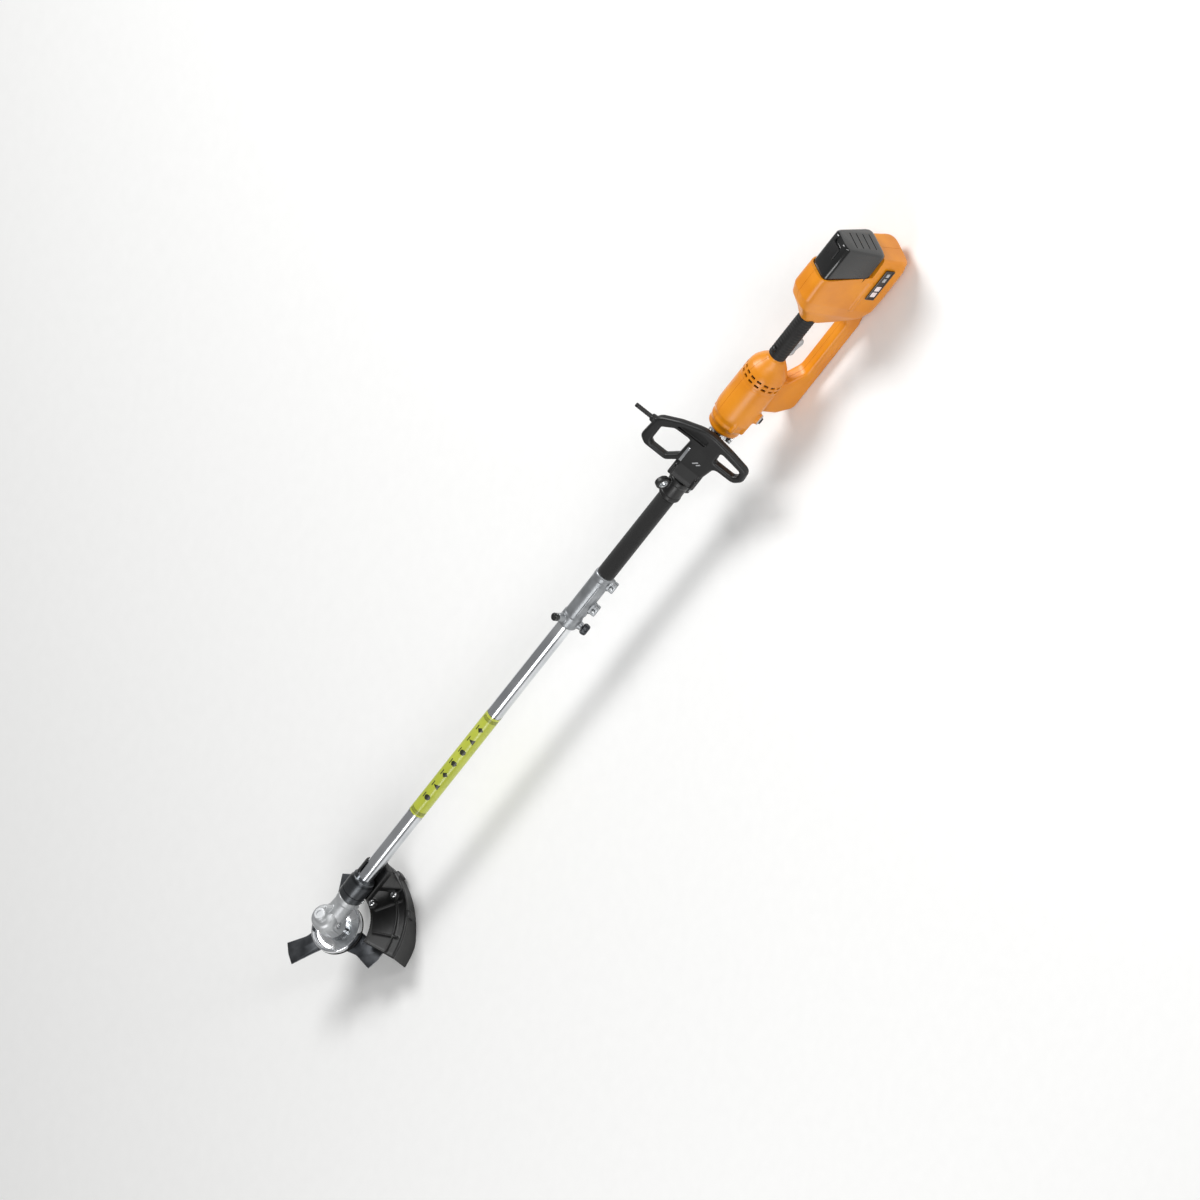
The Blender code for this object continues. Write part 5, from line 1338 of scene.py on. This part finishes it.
def makeBattery():
    look = battery
    corner, taper = bay["corner"], bay["taper"]
    rows = []
    for place, extra in ((look["front"], -0.0016), (look["front"] + 0.0016, 0),
                         (look["front"] + 0.060, 0), (look["back"] - 0.0045, 0),
                         (look["back"] - 0.0020, -0.0010), (look["back"] - 0.0005, -0.0028),
                         (look["back"], -0.0045)):
        rows.append(crossSection(place, bay["half"] + extra, bay["low"] - extra,
                                 bay["high"] + extra, corner, taper, 3))
    piece = loft("batteryCase", rows, toolFrame, 24)
    cutters = [block("latchWay", (0.0250, 0.0240, 0.0270), toolFrame
                     @ at(-look["latchBack"], 0, 0.0645), 0.0015),
               block("latchNotch", (0.0200, 0.0200, 0.0060), toolFrame
                     @ at(-look["back"] + 0.004, 0, 0.0600), 0.0015)]
    for side in (1, -1):
        for row in range(4):  # finger ribs on each flank
            cutters.append(block("flankGroove", (0.0016, 0.0040, 0.0260), toolFrame
                                 @ at(-1.7060 - row * 0.0050, side * 0.0335, 0.0080)
                                 @ turnX(side * 7), 0.0006))
        cutters.append(block("railGroove", (0.1300, 0.0020, 0.0022), toolFrame
                             @ at(-1.690, side * 0.0338, -0.0130), 0.0005))
    for height in (-0.0080, 0.0060, 0.0200, 0.0340):
        cutters.append(block("rearGroove", (0.0022, 0.0340, 0.0018), toolFrame
                             @ at(-look["back"], 0, height), 0.0005))
    for cutter in cutters:
        carve(piece, [cutter])
    dress(piece, glossBlack, "battery", "gloss_black", "battery_case")
    low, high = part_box("battery_latch")
    middle = [(a + b) / 2 for a, b in zip(low, high)]
    size = [b - a for a, b in zip(low, high)]
    parts = [block("latch", (size[0], size[1], size[2] - 0.0008), at(middle[0], middle[1],
                                                                    middle[2] - 0.0004), 0.0012, 3)]
    for i in range(5):
        parts.append(block("latchRib", (0.0014, size[1] * 0.72, 0.0014), at(
            middle[0] + (i - 2) * 0.0036, middle[1], high[2] - 0.0008), 0.0004))
    dress(gather("batteryLatch", parts), blackNylon, "latch_key", "black_nylon",
          "battery_latch")


makeBattery()

panel = {"lightBacks": (1.6500, 1.6640), "lightSize": (0.0110, 0.0012, 0.0100),
         "keyBacks": (1.6850, 1.6970), "keySize": (0.0080, 0.0010, 0.0060)}
lensPlastic = mouldedPlastic("polycarbonate diffuser, pinkish white", {
    "dark": "#E9D3D3", "light": "#FBEDED", "worn": "#FFFFFF", "wear": 0.2, "ior": 1.58,
    "coat": 0.3, "coatRoughness": 0.1, "flowSize": 0.008, "grainSize": 0.001,
    "grainStrength": 0.05, "roughLow": 0.2, "roughHigh": 0.35})


def makeStatusPanel():
    low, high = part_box("status_panel")
    middle = Vector([(a + b) / 2 for a, b in zip(low, high)])
    size = [b - a for a, b in zip(low, high)]
    plate = block("statusPanel", size, Matrix.Translation(middle), 0.0009, 3)
    carve(plate, [block("window", (size[0] - 0.0060, 0.0012, size[2] - 0.0060),
                        at(middle.x, high[1], middle.z), 0.0002)])
    dress(plate, glossBlack, "handle_unit", "gloss_black", "status_panel")
    lights = [block("light", panel["lightSize"], toolFrame
                    @ at(-back, high[1] - gearPoint.y - 0.0006, middle.z - gearPoint.z), 0.0005, 3)
              for back in panel["lightBacks"]]
    dress(gather("statusLights", lights), lensPlastic, "handle_unit", "grey_nylon")
    keys = [block("key", panel["keySize"], toolFrame
                  @ at(-back, high[1] - gearPoint.y - 0.0006, middle.z - gearPoint.z), 0.0004, 3)
            for back in panel["keyBacks"]]
    dress(gather("statusKeys", keys), greyNylon, "handle_unit", "grey_nylon")


makeStatusPanel()
print("battery and panel done")


# Pieces whose shape is already right get their finish here

finishes = {
    groundSteel: ("front_bearing", "rear_bearing", "pinion_bearing", "spindle_bearing",
                  "spindle_top_bearing", "output_spindle", "bevel_gear", "drive_pinion",
                  "lower_drive_shaft", "upper_drive_shaft", "shaft_coupling"),
    zincSteel: ("trigger_pin", "motor_can", "terminal_block"),
    laminations: ("motor_rotor",),
    blackNylon: ("cooling_fan", "power_switch", "battery_lid", "shaft_bushing"),
    cellWrap: ("cell_pack",),
    solderMask: ("control_board",)}
for material, nodes in finishes.items():
    for node in nodes:
        mesh = frame["nodes"][node].data
        for i in range(len(mesh.materials)):
            frame["nodes"][node].material_slots[i].material = material
print("inner pieces finished")


# Floor, light and camera

stage = {"floorSize": 14.0, "floorDark": "#F4F4F3", "floorLight": "#F8F8F7",
         "skyColour": "#FFFFFF", "skyStrength": 0.30,
         "viewWidth": 2.004, "distance": 120.0, "sensor": 36.0, "aimBack": 0.8538,
         "aimLeft": 0.0255, "toCamera": (-0.55, 0.5369, 0.6398), "cameraUp": (-0.6538, -0.7527,
                                                                             0.0695)}


# name, place, point it faces, size and watts
softboxes = [("keySoftbox", (-1.6, -2.2, 3.2), (0, 0, 0.1), (2.6, 1.2), 125),
             ("fillSoftbox", (1.6, 2.8, 2.2), (0, 0, 0.1), (2.4, 1.4), 50),
             ("rearStrip", (-2.6, 1.6, 1.6), (-0.6, 0, 0.1), (0.5, 2.2), 30)]


def makeFloor():
    work = bmesh.new()
    bmesh.ops.create_grid(work, x_segments=8, y_segments=8, size=stage["floorSize"] / 2)
    floor = putMesh("floor", work, at(0, 0, -0.0003))
    paper, tree, shader, place = startMaterial("seamless paper, white", {"IOR": 1.45})
    fibre = addNode(tree, "ShaderNodeTexNoise", {"Scale": 40.0, "Detail": 3.0},
                    {"Vector": place}).outputs["Fac"]
    tone = addNode(tree, "ShaderNodeMix", {"data_type": "RGBA", 6: hexColour(stage["floorDark"]),
                                           7: hexColour(stage["floorLight"])}, {0: fibre})
    tree.links.new(tone.outputs[2], shader.inputs["Base Color"])
    rough = addNode(tree, "ShaderNodeMapRange", {"To Min": 0.85, "To Max": 0.95},
                    {"Value": fibre})
    tree.links.new(rough.outputs["Result"], shader.inputs["Roughness"])
    floor.data.materials.append(paper)


def addSoftbox(name, spot, aim, size, power):
    light = bpy.data.lights.new(name, "AREA")
    light.shape = "RECTANGLE"
    light.size, light.size_y = size
    light.energy = power
    lamp = bpy.data.objects.new(name, light)
    bpy.context.scene.collection.objects.link(lamp)
    lamp.location = spot
    lamp.rotation_euler = (Vector(spot) - Vector(aim)).to_track_quat("Z", "Y").to_euler()


def makeLight():
    world = bpy.data.worlds.new("studio")
    world.use_nodes = True
    sky = world.node_tree.nodes["Background"]
    sky.inputs["Color"].default_value = hexColour(stage["skyColour"])
    sky.inputs["Strength"].default_value = stage["skyStrength"]
    bpy.context.scene.world = world
    for name, spot, aim, size, power in softboxes:
        addSoftbox(name, spot, aim, size, power)


def makeCamera():
    lens = bpy.data.cameras.new("camera")
    lens.sensor_width = stage["sensor"]
    lens.lens = stage["sensor"] * stage["distance"] / stage["viewWidth"]
    lens.clip_end = 500
    camera = bpy.data.objects.new("camera", lens)
    bpy.context.scene.collection.objects.link(camera)
    toCamera = Vector(stage["toCamera"]).normalized()
    up = Vector(stage["cameraUp"])
    side = up.cross(toCamera).normalized()
    up = toCamera.cross(side)
    aim = gearPoint + Vector((-stage["aimBack"], stage["aimLeft"], 0))
    turn = Matrix((side, up, toCamera)).transposed().to_4x4()
    camera.matrix_world = Matrix.Translation(aim + toCamera * stage["distance"]) @ turn
    bpy.context.scene.camera = camera


makeFloor()
makeLight()
makeCamera()
bpy.context.scene.view_settings.view_transform = "Standard"
print("stage ready")
